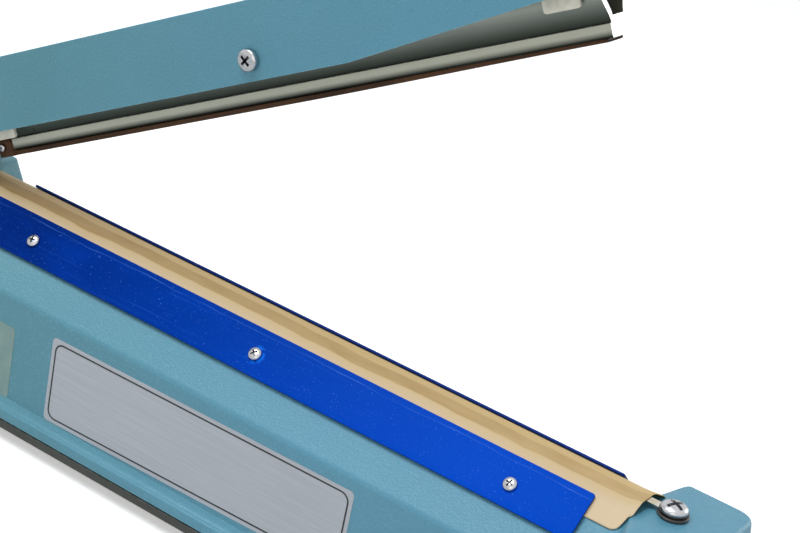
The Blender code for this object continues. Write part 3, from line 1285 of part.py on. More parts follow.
def make_rod():
    """The pull rod: a collared stem under the plateau and a slotted eye on the arm's tail pin."""
    eye_low = TAIL_OPEN_Z - EYE_HEIGHT / 2
    tip = eye_low + ROD_TOP_LENGTH
    profile = [
        (0, tip), (ROD_TOP_RADIUS, tip), (ROD_TOP_RADIUS, eye_low - GAP), (ROD_RADIUS, eye_low - GAP),
        (ROD_RADIUS, COLLAR_TOP), (COLLAR_RADIUS, COLLAR_TOP), (COLLAR_RADIUS, COLLAR_Z),
        (ROD_RADIUS, COLLAR_Z), (ROD_RADIUS, ROD_FOOT_Z), (0, ROD_FOOT_Z),
    ]
    add_part("pull_rod", turned_mesh("pull_rod", profile, BIG_SCREW_SIDES), STEEL, (ROD_X, 0, 0))
    half_x = EYE_LENGTH / 2
    half_z = EYE_HEIGHT / 2
    slot_half = TAIL_PIN_RADIUS + EYE_SLOT_CLEARANCE
    slot_reach = TAIL_TRAVEL_X / 2 + slot_half + EYE_SLOT_CLEARANCE
    body = rounded_rectangle(half_x, half_z, EYE_CORNER)
    slot = rounded_rectangle(slot_reach, slot_half, slot_half - WELD, SLOT_STEPS)
    eye_mesh = outline_mesh("rod_eye", [body, slot], -EYE_WIDTH / 2, EYE_WIDTH / 2, ALONG_Y)
    place = (ROD_X, 0, TAIL_OPEN_Z)
    eye = add_part("rod_eye", eye_mesh, STEEL, place)
    radius = ROD_TOP_RADIUS + HOLE_CLEARANCE
    drill(eye, "eye_socket", radius, -half_z - OVERRUN, ROD_TOP_LENGTH + GAP - half_z, place)


def make_spring():
    """The compression spring round the pull rod, one unbroken wire with square ends."""
    low = COLLAR_TOP + GAP
    high = PLATEAU_UNDER - GAP
    lead = 2 * SPRING_WIRE
    count = SPRING_TURNS * SPRING_POINTS
    points = [(SPRING_RADIUS, 0, low)]
    for i in range(count + 1):
        turn = math.tau * i / SPRING_POINTS
        height = low + lead + (high - low - 2 * lead) * i / count
        points.append((SPRING_RADIUS * math.cos(turn), SPRING_RADIUS * math.sin(turn), height))
    points.append((SPRING_RADIUS, 0, high))
    helix = points[1:-1]
    near = min(
        math.dist(helix[i], helix[j]) for i in range(len(helix))
        for j in range(i + SPRING_POINTS // 2, len(helix))
    )
    print("least gap between the spring's turns, mm:", round((near - 2 * SPRING_WIRE) / MM, 2))
    curve = bpy.data.curves.new("return_spring", "CURVE")
    curve.dimensions = "3D"
    curve.bevel_depth = SPRING_WIRE
    curve.bevel_resolution = 1
    curve.use_fill_caps = True
    spline = curve.splines.new("POLY")
    spline.points.add(len(points) - 1)
    for point, place in zip(spline.points, points):
        point.co = (*place, 1)
    holder = bpy.data.objects.new("return_spring", curve)
    CUTTERS.objects.link(holder)
    mesh = evaluated_mesh(holder, "return_spring")
    weld(mesh)
    add_part("return_spring", mesh, STEEL, (ROD_X, 0, 0))


def make_switch():
    """The small snap switch that the rod's collar works, its button and the plate it hangs on."""
    low = (ROD_X - SWITCH_LENGTH / 2, SWITCH_FRONT_Y, SWITCH_LOW)
    high = (ROD_X + SWITCH_LENGTH / 2, SWITCH_FRONT_Y + SWITCH_WIDTH, SWITCH_TOP)
    switch = add_part("timer_switch", soft_box("timer_switch", low, high, SWITCH_EDGE), KNOB_BLACK)
    half_x = BUTTON_LENGTH / 2
    half_y = BUTTON_WIDTH / 2
    place = (ROD_X, SWITCH_FRONT_Y + BUTTON_WIDTH, BUTTON_LOW)
    button = soft_box("switch_button", (-half_x, -half_y, 0), (half_x, half_y, BUTTON_HEIGHT), BUTTON_EDGE)
    add_part("switch_button", button, NYLON, place)
    well_low = (-half_x - GAP, -half_y - GAP, -OVERRUN)
    well_high = (half_x + GAP, half_y + GAP, BUTTON_HEIGHT + BUTTON_TRAVEL + GAP)
    cut(switch, add_cutter("button_well", box_mesh("button_well", well_low, well_high), place))
    plate_x = PIVOT_X - BRACKET_SCREW_BACK - BRACKET_SCREW_HEAD
    far_x = plate_x + SWITCH_PLATE_LENGTH
    back = SWITCH_FRONT_Y + SWITCH_WIDTH + GAP
    outer = back + SWITCH_BRACKET_THICKNESS
    top = PLATEAU_UNDER - GAP
    under = top - SWITCH_BRACKET_THICKNESS
    angle = [
        (SWITCH_BRACKET_FRONT_Y, under), (back, under), (back, SWITCH_LOW),
        (outer, SWITCH_LOW), (outer, top), (SWITCH_BRACKET_FRONT_Y, top),
    ]
    mesh = outline_mesh("switch_bracket", [angle], plate_x, far_x, ALONG_X)
    plate = add_part("switch_bracket", mesh, STEEL)
    radius = BRACKET_SCREW_RADIUS + HOLE_CLEARANCE
    name, (x, y) = bracket_screw_places()[1]
    drill(plate, "switch_plate_hole", radius, under - OVERRUN, top + OVERRUN, (x, y, 0))


def knob_outline(radius, fluted):
    """One level of the knob, with shallow flutes where it is gripped."""
    points = []
    for i in range(KNOB_POINTS):
        turn = math.tau * i / KNOB_POINTS
        reach = radius
        if fluted:
            reach -= KNOB_FLUTE_DEPTH * (1 - math.cos(turn * KNOB_FLUTES)) / 2
        points.append((reach * math.cos(turn), reach * math.sin(turn)))
    return points


def make_timer():
    """Dial plate, potentiometer with its nut, and the knob on the potentiometer's shaft."""
    place = (DIAL_X, 0, DIAL_Z)
    low = BODY_HALF + GAP
    loops = [circle(DIAL_RADIUS, FINE_SIDES), circle(BUSHING_RADIUS + HOLE_CLEARANCE, ROUND_SIDES)]
    dial = outline_mesh("dial_plate", loops, low, low + DIAL_THICKNESS)
    add_part("dial_plate", dial, DIAL_SILVER, place, FRONT_FACE)
    seat = POT_SEAT
    bore = SHAFT_RADIUS + PIN_CLEARANCE
    profile = [
        (0, seat - POT_DEPTH / 2), (bore, seat - POT_DEPTH / 2), (bore, seat + BUSHING_LENGTH),
        (BUSHING_RADIUS, seat + BUSHING_LENGTH), (BUSHING_RADIUS, seat), (POT_RADIUS, seat),
        (POT_RADIUS, seat - POT_DEPTH), (0, seat - POT_DEPTH),
    ]
    add_part("potentiometer", turned_mesh("potentiometer", profile), DIAL_SILVER, place, FRONT_FACE)
    nut_low = DIAL_FACE + GAP
    hole = BUSHING_RADIUS + HOLE_CLEARANCE
    nut = hexagon_ring("dial_nut", POT_NUT_RADIUS, hole, nut_low, nut_low + POT_NUT_HEIGHT)
    add_part("dial_nut", nut, STEEL, place, FRONT_FACE)
    shaft_low = seat - POT_DEPTH / 2 + GAP
    shaft_high = KNOB_BACK + KNOB_BORE_DEPTH - GAP
    knob_turn = make_empty("knob_axis", (DIAL_X, 0, DIAL_Z))
    shaft = cylinder_mesh("timer_shaft", SHAFT_RADIUS, shaft_low, shaft_high)
    add_part("timer_shaft", shaft, STEEL, (0, 0, 0), FRONT_FACE, knob_turn)
    skirt = KNOB_BACK + KNOB_SKIRT_HEIGHT
    top = KNOB_BACK + KNOB_HEIGHT
    rings = [
        (knob_outline(KNOB_SKIRT_RADIUS, False), KNOB_BACK),
        (knob_outline(KNOB_SKIRT_RADIUS, False), skirt - KNOB_EDGE),
        (knob_outline(KNOB_SKIRT_RADIUS - KNOB_EDGE, False), skirt),
        (knob_outline(KNOB_GRIP_RADIUS, True), skirt + KNOB_EDGE),
        (knob_outline(KNOB_TOP_RADIUS, True), top - KNOB_EDGE),
        (knob_outline(KNOB_TOP_RADIUS - KNOB_EDGE, False), top),
    ]
    mesh = stacked_mesh("timer_knob", rings)
    knob = add_part("timer_knob", mesh, KNOB_BLACK, (0, 0, 0), FRONT_FACE, knob_turn)
    low = KNOB_BACK - OVERRUN
    bores = (
        ("knob_pocket", KNOB_POCKET_RADIUS, KNOB_BACK + KNOB_POCKET_DEPTH),
        ("knob_bore", SHAFT_RADIUS + GAP, KNOB_BACK + KNOB_BORE_DEPTH),
    )
    for name, radius, high in bores:
        drill(knob, name, radius, low, high, (0, 0, 0), FRONT_FACE, knob_turn, ROUND_SIDES)


def make_lamp():
    """The red lamp and the sleeve that holds it in the front wall."""
    place = (LAMP_X, 0, LAMP_Z)
    flange = BODY_HALF + GAP
    bore = LAMP_RADIUS + GAP
    end = flange - BEZEL_SLEEVE_LENGTH
    profile = [
        (bore, flange + BEZEL_PROUD), (BEZEL_RADIUS - GAP, flange + BEZEL_PROUD), (BEZEL_RADIUS, flange),
        (BEZEL_SLEEVE_RADIUS, flange), (BEZEL_SLEEVE_RADIUS, end), (bore, end),
        (bore, flange + BEZEL_PROUD),
    ]
    add_part("lamp_bezel", turned_mesh("lamp_bezel", profile), KNOB_BLACK, place, FRONT_FACE)
    tip = flange + BEZEL_PROUD + LAMP_DOME
    dome = arc((0, tip - LAMP_DOME), LAMP_RADIUS, math.radians(90), 0, ARC_STEPS)
    squash = LAMP_DOME / LAMP_RADIUS
    profile = [(u, tip - LAMP_DOME + (v - tip + LAMP_DOME) * squash) for u, v in dome]
    profile[0] = (0, tip)
    profile += [(LAMP_RADIUS, tip - LAMP_BODY_LENGTH), (0, tip - LAMP_BODY_LENGTH)]
    add_part("lamp_lens", turned_mesh("lamp_lens", profile), LAMP_RED, place, FRONT_FACE)


def make_transformer():
    """Laminated core with two windows, and the winding round its middle limb."""
    low = PLATE_FLOOR + GAP
    half_x = CORE_LENGTH / 2
    high = low + CORE_HEIGHT
    window_x = CORE_LIMB
    limb = CORE_LIMB
    outer = [
        (CORE_X - half_x, low), (CORE_X + half_x, low),
        (CORE_X + half_x, high), (CORE_X - half_x, high),
    ]
    loops = [outer]
    for sign in (-1, 1):
        near = CORE_X + sign * limb
        far = CORE_X + sign * (half_x - limb)
        loops.append([(near, low + limb), (far, low + limb), (far, high - limb), (near, high - limb)])
    core = outline_mesh("transformer_core", loops, -CORE_STACK / 2, CORE_STACK / 2, ALONG_Y)
    add_part("transformer_core", core, IRON)
    inner_x = window_x + GAP
    outer_x = half_x - limb - GAP
    half_y = CORE_STACK / 2 + GAP
    z0 = low + limb + GAP
    z1 = high - limb - GAP
    loops = [
        rounded_rectangle(outer_x, half_y + COIL_PROUD, COIL_EDGE, centre=(CORE_X, 0)),
        rounded_rectangle(inner_x, half_y, GAP, 1, (CORE_X, 0)),
    ]
    add_part("transformer_coil", outline_mesh("transformer_coil", loops, z0, z1), WINDING)


def make_board():
    """The timer's circuit board with its relay, two capacitors and terminal block."""
    half_x = BOARD_LENGTH / 2
    half_y = BOARD_WIDTH / 2
    top = BOARD_Z + BOARD_THICKNESS
    low = (BOARD_X - half_x, -half_y, BOARD_Z)
    mesh = box_mesh("circuit_board", low, (BOARD_X + half_x, half_y, top))
    board = add_part("circuit_board", mesh, BOARD_GREEN)
    blocks = (("relay", RELAY_SIZE, RELAY_PLACE_SHARES), ("block", BLOCK_SIZE, BLOCK_PLACE_SHARES))
    for name, size, shares in blocks:
        x = BOARD_X + shares[0] * BOARD_LENGTH
        y = shares[1] * BOARD_WIDTH
        low = (x - size[0] / 2, y - size[1] / 2, top - JOIN)
        high = (x + size[0] / 2, y + size[1] / 2, top + size[2])
        join(board, add_cutter(name, box_mesh(name, low, high)))
    for number, shares in enumerate(CAPACITOR_PLACE_SHARES):
        can = cylinder_mesh("capacitor", CAPACITOR_RADIUS, top - JOIN, top + CAPACITOR_HEIGHT, SCREW_SIDES)
        place = (BOARD_X + shares[0] * BOARD_LENGTH, shares[1] * BOARD_WIDTH, 0)
        join(board, add_cutter("capacitor_%d" % number, can, place))


def make_outlet():
    """The rubber bush that the mains lead leaves the hinge end through."""
    outside = BODY_END + GAP
    inside = INNER_END - GAP
    tip = outside + OUTLET_FLANGE_THICKNESS
    end = inside - OUTLET_INNER_THICKNESS
    profile = [
        (OUTLET_BORE, tip), (OUTLET_FLANGE - OUTLET_EDGE, tip), (OUTLET_FLANGE, tip - OUTLET_EDGE),
        (OUTLET_FLANGE, outside), (OUTLET_GROOVE, outside), (OUTLET_GROOVE, inside),
        (OUTLET_FLANGE - OUTLET_EDGE, inside), (OUTLET_GROOVE, end), (OUTLET_BORE, end), (OUTLET_BORE, tip),
    ]
    add_part("lead_outlet", turned_mesh("lead_outlet", profile), RUBBER_BLACK, (0, 0, OUTLET_Z), LEFT_FACE)



def main():
    make_body_shell()
    make_bottom_plate()
    make_feet()
    make_heating_band()
    make_strips()
    make_terminals()
    make_bracket()
    make_hinge_pin()
    make_stop()
    hinge = make_empty("arm_axis", (PIVOT_X, 0, PIVOT_Z), (0, -OPEN_ANGLE, 0))
    make_arm(hinge)
    rocker = make_empty("jaw_axis", (JAW_SCREW_ALONG, 0, JAW_SCREW_N), (0, 0, 0), hinge)
    make_jaw(rocker)
    make_rod()
    make_spring()
    make_switch()
    make_timer()
    make_lamp()
    make_transformer()
    make_board()
    make_outlet()


main()
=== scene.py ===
# %% [markdown]
# # A heat sealer, dressed from its CAD model
# The CAD model gives every piece its place and its size. This script puts finer pieces and real
# finishes on it: textured enamel, glossy blue strips, scorched woven cloth, brushed aluminium.
# The default cube, lamp and camera go first, so that only the machine is measured.

# %% Load the CAD model as a fixed frame
import json
import math

import bmesh
import bpy
from mathutils import Matrix, Vector

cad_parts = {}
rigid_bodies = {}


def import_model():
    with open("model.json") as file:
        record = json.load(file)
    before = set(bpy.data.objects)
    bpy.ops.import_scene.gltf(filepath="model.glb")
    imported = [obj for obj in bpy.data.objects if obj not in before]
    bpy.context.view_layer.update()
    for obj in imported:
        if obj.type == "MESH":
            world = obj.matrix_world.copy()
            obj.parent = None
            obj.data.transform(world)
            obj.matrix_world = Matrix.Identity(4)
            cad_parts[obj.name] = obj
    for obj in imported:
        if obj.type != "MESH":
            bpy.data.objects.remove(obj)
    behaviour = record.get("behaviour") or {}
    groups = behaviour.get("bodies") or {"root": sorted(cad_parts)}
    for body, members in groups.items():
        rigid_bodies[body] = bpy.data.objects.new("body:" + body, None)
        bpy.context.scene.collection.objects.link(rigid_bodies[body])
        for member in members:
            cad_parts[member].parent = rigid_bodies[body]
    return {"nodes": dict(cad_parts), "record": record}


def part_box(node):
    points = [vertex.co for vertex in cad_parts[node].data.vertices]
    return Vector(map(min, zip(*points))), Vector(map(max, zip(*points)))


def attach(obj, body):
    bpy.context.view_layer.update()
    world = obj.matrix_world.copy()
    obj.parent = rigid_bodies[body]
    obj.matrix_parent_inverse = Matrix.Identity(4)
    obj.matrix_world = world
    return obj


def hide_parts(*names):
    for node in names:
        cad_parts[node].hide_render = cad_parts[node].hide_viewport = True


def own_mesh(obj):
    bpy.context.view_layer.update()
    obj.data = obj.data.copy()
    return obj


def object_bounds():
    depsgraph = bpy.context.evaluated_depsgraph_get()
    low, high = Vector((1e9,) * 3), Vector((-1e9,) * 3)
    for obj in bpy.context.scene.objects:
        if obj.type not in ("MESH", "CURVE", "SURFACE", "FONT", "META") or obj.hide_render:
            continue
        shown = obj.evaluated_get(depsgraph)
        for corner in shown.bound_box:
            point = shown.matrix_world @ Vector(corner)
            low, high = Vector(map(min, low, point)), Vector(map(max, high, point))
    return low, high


for old in list(bpy.data.objects):
    bpy.data.objects.remove(old, do_unlink=True)
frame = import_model()
CAD_LOW, CAD_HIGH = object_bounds()
MM = 0.001
scene = bpy.context.scene
print("pieces in the frame:", len(frame["nodes"]))
print("box of the machine, mm:", [round(v / MM, 1) for v in (*CAD_LOW, *CAD_HIGH)])

# %% [markdown]
# A maker measures from the bottom plate: its middle is the machine's own zero, and the feet lift
# it off the bench. HOME carries a point from that zero into the scene. The arm has a zero of its
# own on the hinge pin, with one axis along the arm, because the arm is straight there and tilted
# in the scene. Both come from the frame, so nothing is fitted by eye.

# %% The machine's own zero, and the arm's
plate_low, plate_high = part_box("bottom_plate")
HOME = Matrix.Translation(
    ((plate_low.x + plate_high.x) / 2, (plate_low.y + plate_high.y) / 2, plate_low.z)
)
JOINTS = {joint["name"]: joint for joint in frame["record"]["behaviour"]["joints"]}
OPEN_ANGLE = math.radians(JOINTS["arm_hinge"]["range_deg"][1])
ARM = Matrix.Translation(JOINTS["arm_hinge"]["pos_m"]) @ Matrix.Rotation(-OPEN_ANGLE, 4, "Y")
ARM_AT_HOME = HOME.inverted() @ ARM


def home_box(node):
    """Lowest and highest corner of a CAD node, from the machine's zero."""
    low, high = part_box(node)
    return HOME.inverted() @ low, HOME.inverted() @ high


body_low, body_high = home_box("body_shell")
print("housing, mm:", [round(v / MM, 1) for v in (*body_low, *body_high)])
print("the arm stands open by", round(math.degrees(OPEN_ANGLE), 1), "degrees")

# %% [markdown]
# ## Camera
# The picture was taken with a longish lens, a little above the machine and from its handle end,
# with the camera rolled so that the base runs down to the right. Three angles and a distance say
# that better than a table of numbers, so the camera is turned by azimuth, height and roll.

# %% Camera
AZIMUTH = math.radians(29.6)
ELEVATION = math.radians(24.1)
ROLL = math.radians(-11.87)
CAMERA_AT = Vector((399.05, -593.93, 435.10)) * MM
LENS = 88.65

backward = Vector(
    (
        math.sin(AZIMUTH) * math.cos(ELEVATION),
        -math.cos(AZIMUTH) * math.cos(ELEVATION),
        math.sin(ELEVATION),
    )
)
right = Vector((0, 0, 1)).cross(backward).normalized()
upright = backward.cross(right)
roll_right = right * math.cos(ROLL) - upright * math.sin(ROLL)
roll_up = right * math.sin(ROLL) + upright * math.cos(ROLL)
camera = bpy.data.objects.new("camera", bpy.data.cameras.new("camera"))
scene.collection.objects.link(camera)
turned = Matrix((roll_right, roll_up, backward)).transposed().to_4x4()
camera.matrix_world = Matrix.Translation(HOME @ CAMERA_AT) @ turned
camera.data.lens = LENS
camera.data.sensor_width = 36.0
camera.data.clip_start = 0.01
scene.camera = camera
print("camera is", round((HOME @ CAMERA_AT).length, 2), "m from the middle of the bench")

# %% [markdown]
# ## Light and floor
# A product picture has one broad lamp overhead, a weaker one from the front, and a bright room.
# A third, small lamp shines on the jaw's sawn end, which the picture shows burnt out to white.
# The background is white only where the camera, a mirror or glass looks at it: the room that
# lights the machine stays at a plain level, so colours come out as they are written.

# %% World, floor and lamps
ROOM_LEVEL = 0.34
FLOOR_COLOR = (0.86, 0.86, 0.86)
FLOOR_GLOW = 0.45


def white_to_the_eye(nodes, links, plain):
    """Mix a plain shader with pure white for camera, glossy and transmission rays."""
    path = nodes.new("ShaderNodeLightPath")
    seen = nodes.new("ShaderNodeMath")
    seen.operation = "MAXIMUM"
    links.new(path.outputs["Is Camera Ray"], seen.inputs[0])
    links.new(path.outputs["Is Glossy Ray"], seen.inputs[1])
    either = nodes.new("ShaderNodeMath")
    either.operation = "MAXIMUM"
    links.new(seen.outputs[0], either.inputs[0])
    links.new(path.outputs["Is Transmission Ray"], either.inputs[1])
    white = nodes.new("ShaderNodeBackground")
    white.inputs["Color"].default_value = (1, 1, 1, 1)
    white.inputs["Strength"].default_value = 1.0
    mix = nodes.new("ShaderNodeMixShader")
    links.new(either.outputs[0], mix.inputs[0])
    links.new(plain.outputs[0], mix.inputs[1])
    links.new(white.outputs[0], mix.inputs[2])
    return mix


world = bpy.data.worlds.new("studio")
scene.world = world
world.use_nodes = True
room = world.node_tree.nodes["Background"]
room.inputs["Color"].default_value = (0.95, 0.97, 1.0, 1)
room.inputs["Strength"].default_value = ROOM_LEVEL
seen_room = white_to_the_eye(world.node_tree.nodes, world.node_tree.links, room)
world.node_tree.links.new(seen_room.outputs[0], world.node_tree.nodes["World Output"].inputs["Surface"])

bpy.ops.mesh.primitive_plane_add(size=6.0, location=(0, 0, CAD_LOW.z))
floor = bpy.context.object
floor.name = "floor"
floor_paint = bpy.data.materials.new("floor")
floor_paint.use_nodes = True
floor_shader = floor_paint.node_tree.nodes["Principled BSDF"]
floor_shader.inputs["Base Color"].default_value = (*FLOOR_COLOR, 1)
floor_shader.inputs["Roughness"].default_value = 0.9
floor_shader.inputs["Emission Color"].default_value = (1, 1, 1, 1)
path = floor_paint.node_tree.nodes.new("ShaderNodeLightPath")
glow = floor_paint.node_tree.nodes.new("ShaderNodeMath")
glow.operation = "MULTIPLY"
glow.inputs[1].default_value = FLOOR_GLOW
floor_paint.node_tree.links.new(path.outputs["Is Camera Ray"], glow.inputs[0])
floor_paint.node_tree.links.new(glow.outputs[0], floor_shader.inputs["Emission Strength"])
floor.data.materials.append(floor_paint)


def softbox(name, size, power, color, at, aim=(0, 0, 0.08)):
    """A square area lamp that faces a point."""
    lamp = bpy.data.objects.new(name, bpy.data.lights.new(name, "AREA"))
    lamp.data.color = color
    lamp.data.shape = "SQUARE"
    lamp.data.size = size
    lamp.data.energy = power
    lamp.location = at
    lamp.rotation_euler = (Vector(aim) - Vector(at)).to_track_quat("-Z", "Y").to_euler()
    scene.collection.objects.link(lamp)
    return lamp


COOL, WARM, PLAIN = (0.90, 0.97, 1.0), (1.0, 0.90, 0.76), (1.0, 1.0, 1.0)
softbox("overhead_lamp", 1.0, 16.0, COOL, (-0.3, -0.3, 1.5))
softbox("front_lamp", 0.9, 2.2, WARM, (0.6, -1.3, 0.7))
softbox("end_lamp", 0.35, 2.0, PLAIN, (0.576, 0.870, 0.439), (0.13, 0, 0.26))
scene.view_settings.view_transform = "Standard"

# %% [markdown]
# ## Finishes
# A finish is a Principled shader with a little of everything that the real surface has: a colour
# that wanders, a gloss that wanders, and a fine relief. Three small helpers do this. The pattern
# always comes from the piece's own coordinates, in metres, so a scale of 1000 means a millimetre.

# %% Helpers for finishes


def srgb(red, green, blue):
    """A colour as a picture holds it, 0 to 255, in the linear values that a shader takes."""
    linear = []
    for value in (red, green, blue):
        share = value / 255
        linear.append(share / 12.92 if share <= 0.04045 else ((share + 0.055) / 1.055) ** 2.4)
    return (*linear, 1.0)


def new_finish(name, color, roughness, metallic=0.0):
    finish = bpy.data.materials.new(name)
    finish.use_nodes = True
    shader = finish.node_tree.nodes["Principled BSDF"]
    shader.inputs["Base Color"].default_value = color
    shader.inputs["Roughness"].default_value = roughness
    shader.inputs["Metallic"].default_value = metallic
    return finish


def shader_of(finish):
    return finish.node_tree.nodes["Principled BSDF"]


def pattern(finish, scale, detail=3.0, stretch=(1, 1, 1)):
    """Noise in the piece's own coordinates; gives its value socket."""
    nodes, links = finish.node_tree.nodes, finish.node_tree.links
    where = nodes.new("ShaderNodeTexCoord")
    sizer = nodes.new("ShaderNodeMapping")
    sizer.inputs["Scale"].default_value = stretch
    links.new(where.outputs["Object"], sizer.inputs["Vector"])
    texture = nodes.new("ShaderNodeTexNoise")
    texture.inputs["Scale"].default_value = scale
    texture.inputs["Detail"].default_value = detail
    links.new(sizer.outputs["Vector"], texture.inputs["Vector"])
    return texture.outputs[0]


def two_tones(finish, value, dark, light, low=0.35, high=0.65):
    """Colour the surface between two tones by a pattern's value."""
    nodes, links = finish.node_tree.nodes, finish.node_tree.links
    ramp = nodes.new("ShaderNodeValToRGB")
    ramp.color_ramp.elements[0].position = low
    ramp.color_ramp.elements[0].color = dark
    ramp.color_ramp.elements[1].position = high
    ramp.color_ramp.elements[1].color = light
    links.new(value, ramp.inputs["Fac"])
    links.new(ramp.outputs["Color"], shader_of(finish).inputs["Base Color"])


def vary_gloss(finish, value, low, high):
    nodes, links = finish.node_tree.nodes, finish.node_tree.links
    spread = nodes.new("ShaderNodeMapRange")
    spread.inputs["To Min"].default_value = low
    spread.inputs["To Max"].default_value = high
    links.new(value, spread.inputs["Value"])
    links.new(spread.outputs["Result"], shader_of(finish).inputs["Roughness"])


def relief(finish, value, strength, depth):
    """Raise the surface by a pattern; depth is in metres. Calls add up."""
    nodes, links = finish.node_tree.nodes, finish.node_tree.links
    bump = nodes.new("ShaderNodeBump")
    bump.inputs["Strength"].default_value = strength
    bump.inputs["Distance"].default_value = depth
    links.new(value, bump.inputs["Height"])
    normal = shader_of(finish).inputs["Normal"]
    if normal.is_linked:
        links.new(normal.links[0].from_socket, bump.inputs["Normal"])
    links.new(bump.outputs["Normal"], normal)


def along(finish, axis, measure="Object"):
    """How far a point lies along one of the piece's own axes, or how far its face turns to it."""
    nodes, links = finish.node_tree.nodes, finish.node_tree.links
    where = nodes.new("ShaderNodeTexCoord")
    split = nodes.new("ShaderNodeSeparateXYZ")
    links.new(where.outputs[measure], split.inputs["Vector"])
    return split.outputs[axis]


def between(finish, value, low, high, first=0.0, last=1.0):
    """Carry a value from low..high to first..last; outside it stays at the ends."""
    spread = finish.node_tree.nodes.new("ShaderNodeMapRange")
    names = ("From Min", "From Max", "To Min", "To Max")
    for name, number in zip(names, (low, high, first, last)):
        spread.inputs[name].default_value = number
    finish.node_tree.links.new(value, spread.inputs["Value"])
    return spread.outputs["Result"]


def combine(finish, operation, *values):
    """One sum of two or more sockets, or of a socket and a number."""
    result = values[0]
    for value in values[1:]:
        node = finish.node_tree.nodes.new("ShaderNodeMath")
        node.operation = operation
        finish.node_tree.links.new(result, node.inputs[0])
        if isinstance(value, float):
            node.inputs[1].default_value = value
        else:
            finish.node_tree.links.new(value, node.inputs[1])
        result = node.outputs[0]
    return result


def layer(finish, amount, under, over):
    """Lay a colour over another by an amount, and give the surface the result."""
    mix = finish.node_tree.nodes.new("ShaderNodeMix")
    mix.data_type = "RGBA"
    links = finish.node_tree.links
    links.new(amount, mix.inputs[0])
    for socket, color in ((mix.inputs[6], under), (mix.inputs[7], over)):
        if isinstance(color, tuple):
            socket.default_value = color
        else:
            links.new(color, socket)
    links.new(mix.outputs[2], shader_of(finish).inputs["Base Color"])
    return mix.outputs[2]


def recess_shade(finish, reach):
    """Painted shade: 1 in recesses narrower than a reach, 0 on open faces."""
    shade = finish.node_tree.nodes.new("ShaderNodeAmbientOcclusion")
    shade.samples = 6
    shade.inputs["Distance"].default_value = reach
    return between(finish, shade.outputs["AO"], 0.75, 0.3)


def edge_wear_and_highlight(finish, width):
    """1 on edges narrower than a width, 0 on open faces; broken up by noise."""
    nodes, links = finish.node_tree.nodes, finish.node_tree.links
    rounded_off = nodes.new("ShaderNodeBevel")
    rounded_off.samples = 4
    rounded_off.inputs["Radius"].default_value = width
    surface = nodes.new("ShaderNodeNewGeometry")
    turn = nodes.new("ShaderNodeVectorMath")
    turn.operation = "DOT_PRODUCT"
    links.new(rounded_off.outputs["Normal"], turn.inputs[0])
    links.new(surface.outputs["Normal"], turn.inputs[1])
    worn = between(finish, turn.outputs["Value"], 0.97, 0.85)
    return combine(finish, "MULTIPLY", worn, between(finish, pattern(finish, 260, 5), 0.45, 0.6))


def flecks(finish, under, texture, low, high, amount, color):
    """Lay a colour over another by up to an amount, where a pattern is high."""
    where = between(finish, pattern(finish, *texture), low, high, 0, amount)
    return layer(finish, where, under, srgb(*color))


def toned(name, color, roughness, dark, light, grain, bump=None, metallic=0.0):
    """A finish of two close tones; bump is a pattern, a strength and a depth for its relief."""
    finish = new_finish(name, srgb(*color), roughness, metallic)
    two_tones(finish, pattern(finish, *grain), srgb(*dark), srgb(*light))
    if bump:
        texture, strength, depth = bump
        relief(finish, pattern(finish, *texture), strength, depth)
    return finish


print("helpers are ready")

# %% [markdown]
# The housing, the arm and the hinge bracket are pressed steel with a stoved enamel, a dusty
# teal-blue with a fine crinkle like orange peel. Two noises make it: a coarse one of a few
# centimetres for the tone, and one of about a millimetre for the relief.

# %% Enamel finishes
enamel = new_finish("enamel_teal", srgb(100, 154, 168), 0.4)
peel = pattern(enamel, 1150, 2)
# Painted light: the enamel is painted greener and darker at the hinge end, and lighter and bluer
# towards the handle end.
lengthwise_light = between(enamel, along(enamel, "X"), -170 * MM, 60 * MM)
coat = layer(enamel, lengthwise_light, srgb(86, 143, 154), srgb(92, 154, 180))
coat = flecks(enamel, coat, (22, 3), 0.35, 0.65, 0.25, (100, 160, 180))
coat = layer(enamel, between(enamel, peel, 0.52, 0.75, 0, 0.3), coat, srgb(126, 184, 202))
coat = flecks(enamel, coat, (500, 4), 0.66, 0.75, 0.25, (76, 124, 140))
# Lighter edges: partly real wear, partly a painted highlight along the bends.
layer(enamel, edge_wear_and_highlight(enamel, 0.7 * MM), coat, srgb(140, 184, 194))
relief(enamel, peel, 0.9, 0.00022)
vary_gloss(enamel, pattern(enamel, 120, 4), 0.34, 0.46)

plate_enamel = new_finish("enamel_dark", srgb(70, 72, 70), 0.5)
coat = layer(plate_enamel, pattern(plate_enamel, 60, 5), srgb(52, 54, 48), srgb(72, 74, 66))
layer(plate_enamel, edge_wear_and_highlight(plate_enamel, 0.6 * MM), coat, srgb(120, 122, 120))
relief(plate_enamel, pattern(plate_enamel, 900, 2), 0.4, 0.00012)
print("enamels:", enamel.name, plate_enamel.name)

# %% [markdown]
# The cover strips carry a blue film whose edge shows as a light line, and their cut edges are
# navy. Dust and hair-thin scratches run over the face, and that is what tells the eye that it is
# smooth. Each is a layer of its own: a colour, and a pattern that says where it lies.

# %% Blue strips
FILM_EDGE_Y = 7.6 * MM
SCREW_DROP = 1.3 * MM
PUCKER_GLINT_INNER, PUCKER_GLINT_OUTER = 3.4 * MM, 4.6 * MM


def squared(finish, value):
    return combine(finish, "MULTIPLY", value, value)


blue_film = new_finish("blue_film", srgb(0, 58, 185), 0.3)
shader_of(blue_film).inputs["Specular IOR Level"].default_value = 0.02
# Painted light: the film is painted darker at the hinge end and lighter towards the handle end.
lengthwise_light = between(blue_film, along(blue_film, "X"), -125 * MM, 105 * MM)
film = layer(blue_film, lengthwise_light, srgb(0, 42, 128), srgb(0, 79, 212))
